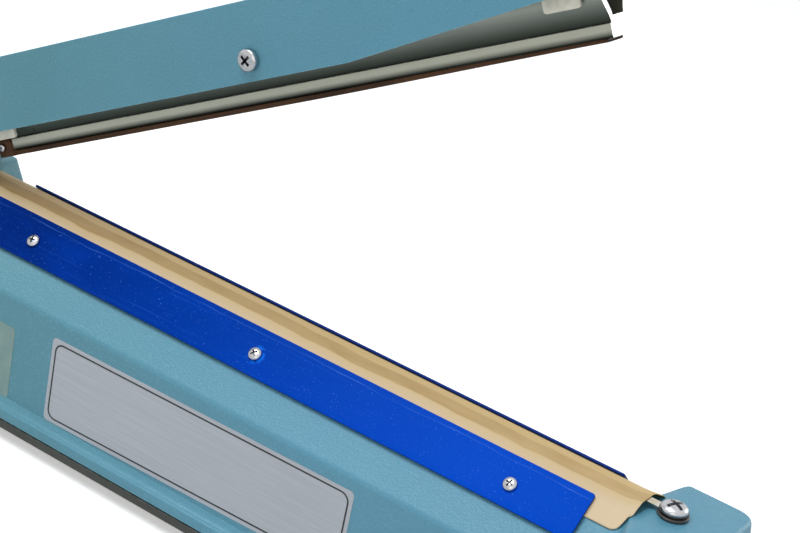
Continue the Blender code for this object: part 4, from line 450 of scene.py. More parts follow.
# clouds in the film, scratches along it, and specks of dust
for texture, low, high, amount, color in (
    ((60, 6, (0.4, 1, 1)), 0.5, 0.75, 0.3, (0, 72, 205)),
    ((1500, 3, (0.02, 1, 1)), 0.62, 0.74, 0.25, (40, 100, 220)),
    ((1500, 4), 0.665, 0.72, 0.6, (90, 140, 230)),
):
    film = flecks(blue_film, film, texture, low, high, amount, color)
wander = between(blue_film, pattern(blue_film, 25, 4, (1, 0, 0)), 0.3, 0.7, -0.8 * MM, 0.8 * MM)
off_line = combine(blue_film, "ADD", along(blue_film, "Y"), wander)
off_line = combine(blue_film, "ABSOLUTE", combine(blue_film, "ADD", off_line, -FILM_EDGE_Y), 0.0)
faint = combine(
    blue_film, "MULTIPLY", between(blue_film, off_line, 0.3 * MM, 0.1 * MM),
    between(blue_film, pattern(blue_film, 40, 3, (1, 0, 0)), 0.4, 0.65, 0.05, 0.45),
)
film = layer(blue_film, faint, film, srgb(80, 135, 230))
# Painted highlight: a bright ring of glints on the puckered film round each screw.
from_screw = combine(
    blue_film, "ADD", squared(blue_film, along(blue_film, "X")),
    squared(blue_film, combine(blue_film, "ADD", along(blue_film, "Y"), SCREW_DROP)),
)
pucker_glint = combine(
    blue_film, "MULTIPLY", between(blue_film, from_screw, PUCKER_GLINT_OUTER**2, PUCKER_GLINT_INNER**2),
    between(blue_film, pattern(blue_film, 420, 4), 0.48, 0.6, 0, 0.8),
)
film = layer(blue_film, pucker_glint, film, srgb(20, 120, 255))
cut_edge = between(blue_film, along(blue_film, "Z"), 0.97 * MM, 0.8 * MM)
layer(blue_film, cut_edge, film, srgb(30, 58, 146))
vary_gloss(blue_film, pattern(blue_film, 90, 8, (1, 4, 1)), 0.22, 0.42)
relief(blue_film, pattern(blue_film, 300, 3), 0.2, 0.00006)
print("layers on the strips: length, clouds, scratches, specks, film edge, cut edge")

# %% [markdown]
# The cloth over the heating ribbon is woven glass with a slippery tan coating. Across it, light and
# shade are painted into its colour: the front slope lighter, a darker band over the ribbon, and the
# rear a deeper gold. Along it, the colour is painted darker towards the hinge. The weave is two
# crossed waves, a half millimetre apart, and the band lies between two values of Y, moved a little
# by noise so that it wavers.

# %% Woven cloth and tape
WAVE_PERIOD = 0.314


def weave(finish, pitch, strength, depth):
    """Relief of two crossed sets of threads with this pitch."""
    nodes, links = finish.node_tree.nodes, finish.node_tree.links
    where = nodes.new("ShaderNodeTexCoord")
    heights = []
    for direction in ("X", "Y"):
        wave = nodes.new("ShaderNodeTexWave")
        wave.bands_direction = direction
        wave.inputs["Scale"].default_value = WAVE_PERIOD / pitch
        links.new(where.outputs["Object"], wave.inputs["Vector"])
        heights.append(wave.outputs["Fac"])
    both = nodes.new("ShaderNodeMath")
    both.operation = "MULTIPLY"
    links.new(heights[0], both.inputs[0])
    links.new(heights[1], both.inputs[1])
    relief(finish, both.outputs[0], strength, depth)


cloth = new_finish("woven_cloth", srgb(196, 166, 124), 0.5)
across = combine(
    cloth, "ADD", along(cloth, "Y"),
    between(cloth, pattern(cloth, 28, 5, (1, 0.05, 0.05)), 0.3, 0.7, -0.9 * MM, 0.9 * MM),
)
# Painted light: darker towards the hinge, lighter towards the handle end.
lengthwise_light = between(cloth, along(cloth, "X"), -150 * MM, 180 * MM)
ribbon_band_shade = layer(cloth, lengthwise_light, srgb(184, 148, 88), srgb(208, 174, 120))
ribbon_band_shade = flecks(cloth, ribbon_band_shade, (120, 6, (0.3, 1, 1)), 0.42, 0.7, 0.5, (172, 134, 72))
# Painted light: the front slope lighter towards its edge, the rear a deeper gold.
slope_light = layer(cloth, between(cloth, across, -5 * MM, -10 * MM), srgb(224, 194, 144), srgb(230, 204, 166))
slope_light = layer(cloth, between(cloth, across, 1.5 * MM, 3 * MM), slope_light, srgb(218, 186, 126))
# Painted shade: a darker band along the top over the ribbon.
over_ribbon = combine(
    cloth, "MULTIPLY", between(cloth, across, -5.7 * MM, -4.9 * MM),
    between(cloth, across, 2.6 * MM, 1.6 * MM),
)
layer(cloth, over_ribbon, slope_light, ribbon_band_shade)
vary_gloss(cloth, pattern(cloth, 140, 4), 0.4, 0.6)
weave(cloth, 0.55 * MM, 0.35, 0.00012)

tape = new_finish("brown_tape", srgb(70, 44, 22), 0.6)
shader_of(tape).inputs["Specular IOR Level"].default_value = 0.25
two_tones(tape, pattern(tape, 90, 6, (0.4, 1, 1)), srgb(58, 35, 15), srgb(88, 57, 30))
weave(tape, 0.5 * MM, 0.4, 0.00012)
print("thread pitch 0.55 and 0.50 mm")

# %% [markdown]
# The jaw is an aluminium extrusion, and drawing it through its die leaves fine lines along it.
# Noise that is stretched a hundredfold along X gives those lines. Its hollow flanks and the faces
# that look down are painted dark by a ramp by height, as painted shade, and its end faces are
# painted near white, as a painted highlight. Plated steel is brighter and has no direction, and
# the heater's ribbon shows a straw tint of heated metal.

# %% Metals
LENGTHWISE = (0.01, 1, 1)
JAW_FOOT_Z = -10.2 * MM
JAW_NECK_Z = -7.5 * MM
JAW_FLANK_Z = -0.6 * MM
aluminium = new_finish("extruded_aluminium", srgb(170, 170, 160), 0.42, 1.0)
height = along(aluminium, "Z")
# Painted shade: the flanks are painted dark low down and lighter higher up, and faces that look down
# take that shade.
low_flank_shade = between(aluminium, height, JAW_FOOT_Z, JAW_NECK_Z)
flank_shade = layer(aluminium, low_flank_shade, srgb(36, 40, 36), srgb(76, 82, 74))
high_flank_shade = between(aluminium, height, JAW_NECK_Z, JAW_FLANK_Z)
flank_shade = layer(aluminium, high_flank_shade, flank_shade, srgb(150, 155, 146))
underside_shade = between(aluminium, along(aluminium, "Z", "Normal"), 0.0, -0.08)
drawn = layer(aluminium, underside_shade, srgb(178, 179, 164), flank_shade)
drawn = flecks(aluminium, drawn, (3600, 4, LENGTHWISE), 0.45, 0.7, 0.15, (92, 94, 86))
# Painted highlight: the end faces are painted near white.
faces_end = combine(aluminium, "ABSOLUTE", along(aluminium, "X", "Normal"), 0.0)
end_glare = between(aluminium, faces_end, 0.8, 0.95)
drawn = layer(aluminium, end_glare, drawn, srgb(214, 214, 210))
layer(aluminium, edge_wear_and_highlight(aluminium, 0.25 * MM), drawn, srgb(196, 196, 188))
relief(aluminium, pattern(aluminium, 4200, 3, LENGTHWISE), 0.25, 0.00003)
vary_gloss(aluminium, pattern(aluminium, 60, 6), 0.36, 0.5)

steel = new_finish("plated_steel", srgb(196, 196, 200), 0.24, 1.0)
plating = layer(steel, pattern(steel, 260, 5), srgb(168, 169, 172), srgb(206, 207, 210))
# Painted shade: recesses and the gaps beside other parts are painted nearly black.
layer(steel, recess_shade(steel, 1.2 * MM), plating, srgb(34, 34, 36))
relief(steel, pattern(steel, 1400, 4), 0.25, 0.00004)
vary_gloss(steel, pattern(steel, 420, 6), 0.16, 0.36)

ribbon = toned("heated_ribbon", (214, 212, 206), 0.26, (196, 184, 160), (222, 222, 220),
               (120, 4), ((900, 3), 0.3, 0.00005), 1.0)
LAMINATIONS = (1400, 2, (0.05, 1, 0.05))
iron = toned("laminated_iron", (96, 98, 102), 0.5, (70, 72, 76), (120, 122, 126),
             LAMINATIONS, (LAMINATIONS, 0.8, 0.0002), 0.9)
print("metals:", aluminium.name, steel.name, ribbon.name, iron.name)

# %% [markdown]
# Rubber and plastics take light in three ways: rubber swallows it and shows a dull skin, nylon
# lets some in and glows softly, and the red lens of the lamp lets nearly all of it through.

# %% Rubber and plastics
foot_rubber = toned("foot_rubber", (38, 38, 40), 0.75, (30, 30, 32), (54, 54, 56),
                    (300, 5), ((1500, 3), 0.4, 0.00008))
silicone = toned("silicone_rubber", (62, 37, 18), 0.62, (52, 30, 14), (76, 48, 26),
                 (200, 5), ((1200, 3), 0.3, 0.00008))
nylon = toned("white_nylon", (220, 216, 200), 0.4, (208, 204, 188), (228, 225, 210),
              (240, 4), ((900, 3), 0.2, 0.00005))
shader_of(nylon).inputs["Subsurface Weight"].default_value = 0.15
shader_of(nylon).inputs["Subsurface Radius"].default_value = (0.002, 0.002, 0.002)
black_plastic = toned("black_plastic", (30, 31, 33), 0.42, (24, 25, 27), (40, 41, 43),
                      (350, 5), ((1800, 2), 0.3, 0.00005))
dial_silver = toned("dial_silver", (186, 188, 192), 0.38, (176, 178, 182), (200, 202, 206),
                    (900, 3, (0.02, 1, 1)), metallic=0.7)
vary_gloss(dial_silver, pattern(dial_silver, 80, 4), 0.32, 0.46)
red_lens = toned("red_lens", (200, 22, 16), 0.14, (180, 14, 10), (222, 40, 28),
                 (300, 3), ((900, 2), 0.15, 0.00005))
shader_of(red_lens).inputs["Transmission Weight"].default_value = 0.55
bakelite = toned("dark_bakelite", (58, 56, 56), 0.42, (46, 44, 44), (72, 69, 68), (400, 6))
pressboard = toned("pressed_board", (204, 196, 176), 0.7, (188, 178, 156), (216, 210, 194),
                   (300, 6, (0.3, 1, 1)))
winding = toned("taped_winding", (196, 176, 92), 0.5, (176, 154, 70), (214, 196, 120),
                (200, 5), ((1600, 2, (1, 1, 0.1)), 0.4, 0.0001))
circuit = toned("circuit_board", (44, 96, 58), 0.4, (34, 84, 48), (64, 118, 76), (500, 3))

FINISHES = {
    "paint": enamel,
    "plate_paint": plate_enamel,
    "blue_strip": blue_film,
    "cloth": cloth,
    "tape": tape,
    "foot_rubber": foot_rubber,
    "silicone": silicone,
    "aluminium": aluminium,
    "steel": steel,
    "nylon": nylon,
    "black_plastic": black_plastic,
    "dial": dial_silver,
    "red_lens": red_lens,
    "iron": iron,
    "winding": winding,
    "board": circuit,
    "bakelite": bakelite,
    "insulator": pressboard,
    "nichrome": ribbon,
}
print("finishes:", len(FINISHES))

# %% [markdown]
# Every CAD piece already knows the slot of its finish. Pieces that stay as they are, such as the
# transformer inside the base, only have that slot filled. The ones that the eye meets first are
# replaced further down by finer pieces.

# %% Finishes on the CAD pieces
SLOT_OF = {row["node"]: row["material_slot"] for row in frame["record"]["subparts"]}
for node, thing in frame["nodes"].items():
    for slot in thing.material_slots:
        slot.material = FINISHES[SLOT_OF[node]]
print("dressed:", len(SLOT_OF), "pieces")

# %% [markdown]
# ## Shapes
# Most pieces of such a machine are sheet metal, bar and turned parts. So four makers of meshes
# are enough: a lathe for turned parts, a loft for skins, a plate that is cut from an outline, and
# rounded corners for outlines. They work in the piece's own axes, and put() sets the piece down.

# %% Mesh makers
DRILL_REACH = 20 * MM


def in_mm(*points):
    """Points that are written in millimetres."""
    return [tuple(value * MM for value in point) for point in points]


def both_ends(profile):
    """A lathe profile from its middle up, with the same one below it."""
    return [(radius, -height) for radius, height in reversed(profile)] + profile


def mesh_from(shape, name, sharp=35):
    """Close a bmesh into a smooth mesh whose edges stay sharp above an angle."""
    bmesh.ops.recalc_face_normals(shape, faces=shape.faces)
    mesh = bpy.data.meshes.new(name)
    shape.to_mesh(mesh)
    shape.free()
    soften(mesh, sharp)
    return mesh


def soften(mesh, sharp=35):
    mesh.shade_smooth()
    mesh.set_sharp_from_angle(angle=math.radians(sharp))


def arc(centre, radius, start, stop, steps):
    """Points on an arc, angles in degrees."""
    points = []
    for i in range(steps + 1):
        turn = math.radians(start + (stop - start) * i / steps)
        points.append((centre[0] + radius * math.cos(turn), centre[1] + radius * math.sin(turn)))
    return points


def rounded(corners, steps=6):
    """A closed outline from corners (u, v, radius)."""
    outline = []
    for i, (u, v, radius) in enumerate(corners):
        here = Vector((u, v))
        back = (Vector(corners[i - 1][:2]) - here).normalized()
        ahead = (Vector(corners[(i + 1) % len(corners)][:2]) - here).normalized()
        if radius <= 0:
            outline.append((u, v))
            continue
        half = back.angle(ahead) / 2
        centre = here + (back + ahead).normalized() * radius / math.sin(half)
        start = here + back * radius / math.tan(half)
        stop = here + ahead * radius / math.tan(half)
        first, last = start - centre, stop - centre
        sweep = first.angle_signed(last)
        for step in range(steps + 1):
            turn = -sweep * step / steps
            spoke = Matrix.Rotation(turn, 2) @ first
            outline.append(tuple(centre + spoke))
    return outline


def box_outline(half_u, half_v, radius, steps=6):
    corners = [(half_u, half_v), (-half_u, half_v), (-half_u, -half_v), (half_u, -half_v)]
    return rounded([(u, v, radius) for u, v in corners], steps)


def lathe(name, profile, sides=48, sharp=35):
    """Turn a profile of (radius, height) points round Z."""
    shape = bmesh.new()
    rings = []
    for radius, height in profile:
        count = 1 if radius < 1e-7 else sides
        ring = []
        for i in range(count):
            turn = math.tau * i / sides
            ring.append(shape.verts.new((radius * math.cos(turn), radius * math.sin(turn), height)))
        rings.append(ring)
    for low, high in zip(rings, rings[1:]):
        for i in range(sides):
            j = (i + 1) % sides
            face = []
            for ring, k in ((low, i), (low, j), (high, j), (high, i)):
                corner = ring[k % len(ring)]
                if corner not in face:
                    face.append(corner)
            if len(face) > 2:
                shape.faces.new(face)
    return mesh_from(shape, name, sharp)


def loft(name, rings, sharp=35, closed=True, capped=True):
    """Skin rings of equal length that follow each other."""
    shape = bmesh.new()
    rows = [[shape.verts.new(point) for point in ring] for ring in rings]
    for left, right in zip(rows, rows[1:]):
        count = len(left)
        for i in range(count if closed else count - 1):
            j = (i + 1) % count
            shape.faces.new((left[i], left[j], right[j], right[i]))
    if capped:
        shape.faces.new(rows[0])
        shape.faces.new(rows[-1])
    return mesh_from(shape, name, sharp)


def plate(name, loops, thickness, edge=0.0, steps=3):
    """A flat plate on Z=0 cut to loops (the first is its outline), with rounded edges."""
    curve = bpy.data.curves.new(name, "CURVE")
    curve.dimensions = "2D"
    curve.fill_mode = "BOTH"
    curve.extrude = thickness / 2 - edge
    curve.bevel_depth = edge
    curve.bevel_resolution = steps
    curve.offset = -edge
    for loop in loops:
        line = curve.splines.new("POLY")
        line.points.add(len(loop) - 1)
        for point, (u, v) in zip(line.points, loop):
            point.co = (u, v, 0, 1)
        line.use_cyclic_u = True
    holder = bpy.data.objects.new(name, curve)
    mesh = solid_of(holder)
    mesh.transform(Matrix.Translation((0, 0, thickness / 2)))
    shape = bmesh.new()
    shape.from_mesh(mesh)
    bmesh.ops.remove_doubles(shape, verts=shape.verts, dist=1e-6)
    return mesh_from(shape, name)


def solid_of(holder):
    """The mesh that an object's modifiers or curve give; the object itself is removed."""
    scene.collection.objects.link(holder)
    bpy.context.view_layer.update()
    graph = bpy.context.evaluated_depsgraph_get()
    mesh = bpy.data.meshes.new_from_object(holder.evaluated_get(graph))
    bpy.data.objects.remove(holder, do_unlink=True)
    return mesh


def carve(mesh, cutter, operation="DIFFERENCE", sharp=35):
    """Cut one mesh with another, or keep what both share, and soften the result."""
    tool = bpy.data.objects.new("tool", cutter)
    scene.collection.objects.link(tool)
    holder = bpy.data.objects.new(mesh.name, mesh)
    cut = holder.modifiers.new("cut", "BOOLEAN")
    cut.operation = operation
    cut.solver = "EXACT"
    cut.object = tool
    result = solid_of(holder)
    bpy.data.objects.remove(tool, do_unlink=True)
    soften(result, sharp)
    return result


def extruded(name, loops, low, high, matrix=None, sharp=35):
    """An outline pushed from low to high along Z, then laid down by a matrix."""
    mesh = plate(name, loops, high - low)
    mesh.transform(Matrix.Translation((0, 0, low)))
    if matrix is not None:
        mesh.transform(matrix)
    soften(mesh, sharp)
    return mesh


def drilled(mesh, radius, at, low=-DRILL_REACH, high=DRILL_REACH):
    """Drill a round hole along the Z of a place."""
    drill = lathe("drill", [(0, low), (radius, low), (radius, high), (0, high)], 48)
    drill.transform(at)
    return carve(mesh, drill)


ALONG_X = Matrix(((0, 0, 1, 0), (1, 0, 0, 0), (0, 1, 0, 0), (0, 0, 0, 1)))
ALONG_Y = Matrix(((1, 0, 0, 0), (0, 0, -1, 0), (0, 1, 0, 0), (0, 0, 0, 1)))


def put(name, mesh, slot, body="base", at=None, stands_for=()):
    """Set a piece down in the machine's frame, finish it, and let it ride on its body."""
    piece = bpy.data.objects.new(name, mesh)
    scene.collection.objects.link(piece)
    mesh.materials.clear()
    mesh.materials.append(FINISHES[slot])
    piece.matrix_world = HOME @ (at or Matrix.Identity(4))
    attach(piece, body)
    if stands_for:
        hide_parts(*stands_for)
    return piece


def soft_edges(piece, width, steps=3, angle=40):
    """Round every edge sharper than an angle."""
    bevel = piece.modifiers.new("soft_edges", "BEVEL")
    bevel.width = width
    bevel.segments = steps
    bevel.limit_method = "ANGLE"
    bevel.angle_limit = math.radians(angle)
    bevel.harden_normals = True


print("mesh makers are ready")

# %% [markdown]
# Front pieces such as the dial face the reader, screws in the arm lie across it, and screws on the
# slopes lean with them. Each is made standing on Z=0, so a place is a matrix: where zero goes, and
# which way the piece's Z points.

# %% Places


def facing(point, direction, spin=0.0):
    """A place whose Z looks along a direction, turned about it by spin degrees."""
    turn = Vector(direction).to_track_quat("Z", "Y").to_matrix().to_4x4()
    return Matrix.Translation(point) @ turn @ Matrix.Rotation(math.radians(spin), 4, "Z")


def middle(node):
    low, high = home_box(node)
    return (low + high) / 2


FRONT = (0, -1, 0)
print("the dial's middle, mm:", [round(v / MM, 1) for v in middle("dial_plate")])

# %% [markdown]
# ## The base
# The housing is one pressed shell: upright walls, two slopes that meet in a narrow ridge, and at
# each end a flat place for the terminals. A loft along X makes all of that in one skin. Each
# section is a half profile that blends from ridge to flat place, and the ends draw in on an arc.

# %% Sizes of the housing
WALL = 2.0 * MM
BODY_HALF_LENGTH = 216.0 * MM
BODY_HALF = 37.0 * MM
BODY_CORNER = 8.0 * MM
END_EDGE = 3.0 * MM
RIDGE_HALF = 10.7 * MM
RIDGE_Z = 83.0 * MM
FLAT_HALF = 26.0 * MM
FLAT_Z = 84.7 * MM
SLOPE = math.radians(42.0)
BEND_Z = RIDGE_Z - (BODY_HALF - RIDGE_HALF) * math.tan(SLOPE)
SKIRT_LOW = 4.5 * MM
WALL_LOW = SKIRT_LOW + 0.6 * MM
SKIRT_SHEET = 1.2 * MM
SKIRT_HIGH = 9.5 * MM
JOGGLE_HIGH = 12.5 * MM
SKIRT_LEDGE = 4.0 * MM
SKIRT_CORNER = 12.0 * MM
RIDGE_START = -153.0 * MM
HINGE_RAMP = 6.0 * MM
RAMP_START = 180.5 * MM
RAMP = 7.5 * MM
BEND_RADIUS = 4.0 * MM
GAP = 0.3 * MM
print("height of the bend, mm:", round(BEND_Z / MM, 1))

# %% The housing's shell


def half_section(top_half, top_z, top_radius):
    """Half a section from the foot of the wall to the middle of the top, with rounded bends."""
    corners = [
        (BODY_HALF, WALL_LOW, 0),
        (BODY_HALF, BEND_Z, BEND_RADIUS),
        (top_half, top_z, top_radius),
        (0, top_z, 0),
        (0, WALL_LOW, 0),
    ]
    return rounded(corners, 7)[:-1]


def drawn_in(distance, radius):
    """How far a rounded end has come in at this distance from it."""
    if distance >= radius:
        return 0.0
    return radius - math.sqrt(radius**2 - (radius - distance) ** 2)


def smooth_step(share):
    return share * share * (3 - 2 * share)


def clamp(value, low=0.0, high=1.0):
    return max(low, min(high, value))


def eased(value, start, run):
    """0 before a start and 1 after its run, with a soft step between."""
    return smooth_step(clamp((value - start) / run))


def housing_places():
    """Positions along X, how much of the flat place each has, and its distance from the end."""
    places = []
    for i in range(13):
        away = BODY_CORNER * (i / 12) ** 2
        places.append((-BODY_HALF_LENGTH + away, 1.0, away))
    for i in range(9):
        places.append((RIDGE_START - HINGE_RAMP * (1 - i / 8), 1 - smooth_step(i / 8), BODY_CORNER))
    for i in range(9):
        places.append((RAMP_START + RAMP * i / 8, smooth_step(i / 8), BODY_CORNER))
    for i in range(12, -1, -1):
        away = BODY_CORNER * (i / 12) ** 2
        places.append((BODY_HALF_LENGTH - away, 1.0, away))
    return places


ridge_half = half_section(RIDGE_HALF, RIDGE_Z, 1.0 * MM)
flat_half = half_section(FLAT_HALF, FLAT_Z, 2.5 * MM)
straight = BEND_Z - BEND_RADIUS
rings = []
for x, blend, away in housing_places():
    half = []
    for (y0, z0), (y1, z1) in zip(ridge_half, flat_half):
        y = y0 + (y1 - y0) * blend
        z = z0 + (z1 - z0) * blend
        if y > 0:
            y -= drawn_in(away, BODY_CORNER)
        if z > straight:
            z -= drawn_in(away, END_EDGE) * (z - straight) / (FLAT_Z - straight)
        half.append((y, z))
    across = [(-y, z) for y, z in half] + [(y, z) for y, z in reversed(half[:-1])]
    rings.append([(x, y, z) for y, z in across])
shell_mesh = loft("housing", rings, closed=False)
holder = bpy.data.objects.new("housing", shell_mesh)
wall = holder.modifiers.new("wall", "SOLIDIFY")
wall.thickness = WALL
wall.offset = -1
shell_mesh = solid_of(holder)
soften(shell_mesh)
put("housing", shell_mesh, "paint", stands_for=["body_shell"])
print("housing:", len(shell_mesh.polygons), "faces")

# %% [markdown]
# The foot of the shell steps outwards over a small joggle and ends in a skirt that grips the
# bottom plate. Both are outlines stacked in Z. The skirt's profile goes up its outer side, over
# the joggle and down its inner side, so it has the thickness of the sheet.

# %% Skirt and bottom plate


def stack(name, levels, looped=False, sharp=35):
    """Skin outlines of equal length at their heights; looped joins the last to the first."""
    rings = [[(u, v, z) for u, v in outline] for outline, z in levels]
    if looped:
        rings.append(rings[0])
    mesh = loft(name, rings, sharp, capped=not looped)
    shape = bmesh.new()
    shape.from_mesh(mesh)
    bmesh.ops.remove_doubles(shape, verts=shape.verts, dist=1e-7)
    return mesh_from(shape, name, sharp)


def base_outline(inset):
    """The base's outline, drawn in by an inset."""
    half_x = BODY_HALF_LENGTH + SKIRT_LEDGE - inset
    half_y = BODY_HALF + SKIRT_LEDGE - inset
    return box_outline(half_x, half_y, SKIRT_CORNER - inset, 14)


skirt_levels = [(base_outline(0.4 * MM), SKIRT_LOW), (base_outline(0), SKIRT_LOW + 0.4 * MM)]
for i in range(5):
    turn = math.radians(90) * i / 4
    inset = 1.0 * MM * (1 - math.cos(turn))
    skirt_levels.append((base_outline(inset), SKIRT_HIGH - (1 - math.sin(turn)) * MM))
for i in range(1, 7):
    share = i / 6
    inset = MM + (SKIRT_LEDGE - MM) * share
    skirt_levels.append((base_outline(inset), SKIRT_HIGH + (JOGGLE_HIGH - SKIRT_HIGH) * share**2))
skirt_levels.append((base_outline(SKIRT_LEDGE + SKIRT_SHEET), JOGGLE_HIGH))
skirt_levels.append((base_outline(SKIRT_LEDGE + SKIRT_SHEET), SKIRT_LOW))
put("skirt", stack("skirt", skirt_levels, looped=True), "paint")

PLATE_HIGH = 4.2 * MM
plate_levels = [(base_outline(1.0 * MM), 0), (base_outline(0.3 * MM), 0.3 * MM)]
plate_levels += [(base_outline(0), 1.0 * MM), (base_outline(0), PLATE_HIGH)]
plate_levels += [(base_outline(2.5 * MM), PLATE_HIGH), (base_outline(2.5 * MM), 1.8 * MM)]
put("bottom_tray", stack("bottom_tray", plate_levels), "plate_paint", stands_for=["bottom_plate"])
print("base outline, mm:", round(2 * (BODY_HALF_LENGTH + SKIRT_LEDGE) / MM, 1), "long")

# %% [markdown]
# ## Screws
# Every screw on the machine has a rounded head with a cross recess. One maker turns the head on
# the lathe and cuts the recess with a cross that narrows downwards, as the driver does. Screws of
# one size share their mesh, and each is turned by its own angle, as a person leaves them.

# %% Screws


def cross_cutter(arm, half, depth, top):
    """A tapered cross for the recess, from above the head down to its depth."""

    def cross(reach, width):
        w, r = width, reach
        return [
            (w, w), (w, r), (-w, r), (-w, w), (-r, w), (-r, -w),
            (-w, -w), (-w, -r), (w, -r), (w, -w), (r, -w), (r, w),
        ]

    above = [(u, v, top + 1.0 * MM) for u, v in cross(arm * 1.1, half * 1.1)]
    rim = [(u, v, top) for u, v in cross(arm, half)]
    floor_ring = [(u, v, top - depth) for u, v in cross(arm * 0.6, half * 0.7)]
    return loft("cross", [above, rim, floor_ring])


def pan_screw(name, head, height, shank, length, crown=0.35, reach=0.58, width=0.13):
    """A screw with a domed head on Z=0 and its shank down; crown is the dome's share of it."""
    side = height * (1 - crown)
    profile = [(0, height)]
    for i in range(1, 9):
        turn = math.radians(90) * i / 8
        profile.append((head * math.sin(turn) ** 0.9, side + height * crown * math.cos(turn)))
    profile += [(head, side * 0.15), (head * 0.97, 0), (shank, 0)]
    profile += [(shank, shank - length), (shank * 0.4, -length), (0, -length)]
    blank = lathe(name, profile, 40)
    cutter = cross_cutter(head * reach, head * width, height * 0.75, height)
    return carve(blank, cutter)


SPINS = (12, 47, 75, 28, 63, 5, 38, 81)
strip_screw_mesh = pan_screw("strip_screw", 2.8 * MM, 1.6 * MM, 1.5 * MM, 8.0 * MM, 0.75)
bracket_screw_mesh = pan_screw("bracket_screw", 3.9 * MM, 2.4 * MM, 2.0 * MM, 9.0 * MM)
plate_screw_mesh = pan_screw("plate_screw", 3.8 * MM, 2.0 * MM, 1.7 * MM, 18.0 * MM)
print("screws:", len(strip_screw_mesh.polygons), "faces each")

# %% [markdown]
# ## Feet
# A foot is a moulded rubber cup with a screw in its hollow. It is turned, with a small round at
# the sole where it wears.

# %% Feet and their screws
FOOT_X = 203.0 * MM
FOOT_Y = 30.6 * MM
FOOT_SCREW_Z = -2.6 * MM
foot_profile = in_mm(
    (2.05, -0.3), (7.6, -0.3), (8.0, -0.7), (7.2, -4.6), (6.9, -5.1), (6.3, -5.3), (4.9, -5.3),
    (4.6, -5.0), (4.6, -2.3), (2.05, -2.3), (2.05, -0.3),
)
foot_mesh = lathe("foot", foot_profile, 56)
for number, (corner, side_x, side_y) in enumerate(
    (("front_hinge", -1, -1), ("front_handle", 1, -1), ("rear_hinge", -1, 1), ("rear_handle", 1, 1))
):
    spot = (side_x * FOOT_X, side_y * FOOT_Y, 0)
    put("rubber_foot_" + corner, foot_mesh, "foot_rubber", at=Matrix.Translation(spot),
        stands_for=["foot_" + corner])
    under = facing((spot[0], spot[1], FOOT_SCREW_Z), (0, 0, -1), SPINS[number])
    put("foot_screw_" + corner, plate_screw_mesh, "steel", at=under,
        stands_for=["plate_screw_" + corner])
print("feet:", 4)

# %% [markdown]
# ## Heating band
# A coated glass cloth lies over the hot ribbon and slopes down on both sides to the strips, which
# clamp it. It is one sheet of even thickness, so it is drawn as a line across the ridge, swept
# along X, and thickened. Its corners are cut round, and at the handle end it climbs the ramp and
# lifts over the ribbon. Low ripples run over it where heat has let the cloth grow.

# %% Cloth over the ridge
CLOTH_START = -152.5 * MM
CLOTH_END = 182.6 * MM
CLOTH_THICK = 0.3 * MM
CLOTH_Z = 85.85 * MM
CLOTH_TOP_HALF = 5.2 * MM
CLOTH_LEAVES = 0.1 * MM
CLOTH_DROP = 7.9 * MM
CLOTH_CORNER = 4.5 * MM
FOLD_HALF = 10.5 * MM
END_SLANT = 0.3
END_FLARE = 2.2 * MM
END_LIFT = 1.05 * MM
LIFT_FROM, LIFT_RUN = 176.0 * MM, 6 * MM
LIFT_HALF, LIFT_FADE = 14 * MM, 6 * MM
SLANT_FROM, SLANT_RUN = 170 * MM, 13 * MM
FLARE_FROM, FLARE_RUN = 3 * MM, 5 * MM
RIPPLE, RIPPLE_SHORT, RIPPLE_LONG = 0.10 * MM, 7.3 * MM, 19 * MM
CROWN = 0.06 * MM


def slope_point(side, up, height):
    """A point on a slope in (y, z): up from the ridge's corner, height off the paint."""
    y = -RIDGE_HALF + up * math.cos(SLOPE) - height * math.sin(SLOPE)
    z = RIDGE_Z + up * math.sin(SLOPE) + height * math.cos(SLOPE)
    return (y * side, z)


def on_slope(side, x, up, height, spin=0):
    y, z = slope_point(side, up, height)
    tilt = Matrix.Rotation(side * SLOPE, 4, "X")
    return Matrix.Translation((x, y, z)) @ tilt @ Matrix.Rotation(math.radians(spin), 4, "Z")


def evenly(line, count, cut=0.0):
    """Points evenly along a line with a length cut off at both its ends, and the line's length."""
    walked = [0.0]
    for start, stop in zip(line, line[1:]):
        walked.append(walked[-1] + (Vector(stop) - Vector(start)).length)
    points, k = [], 0
    for i in range(count):
        wanted = cut + (walked[-1] - 2 * cut) * i / (count - 1)
        while k < len(walked) - 2 and walked[k + 1] < wanted:
            k += 1
        share = (wanted - walked[k]) / (walked[k + 1] - walked[k])
        points.append(Vector(line[k]).lerp(Vector(line[k + 1]), share))
    return points, walked[-1]


def ramp_top(x, y):
    """Height of the housing's skin at the ramp of the handle end."""
    share = eased(x, RAMP_START, RAMP)
    top_half = RIDGE_HALF + (FLAT_HALF - RIDGE_HALF) * share
    top_z = RIDGE_Z + (FLAT_Z - RIDGE_Z) * share
    if abs(y) <= top_half:
        return top_z
    return BEND_Z + (top_z - BEND_Z) * (BODY_HALF - abs(y)) / (BODY_HALF - top_half)


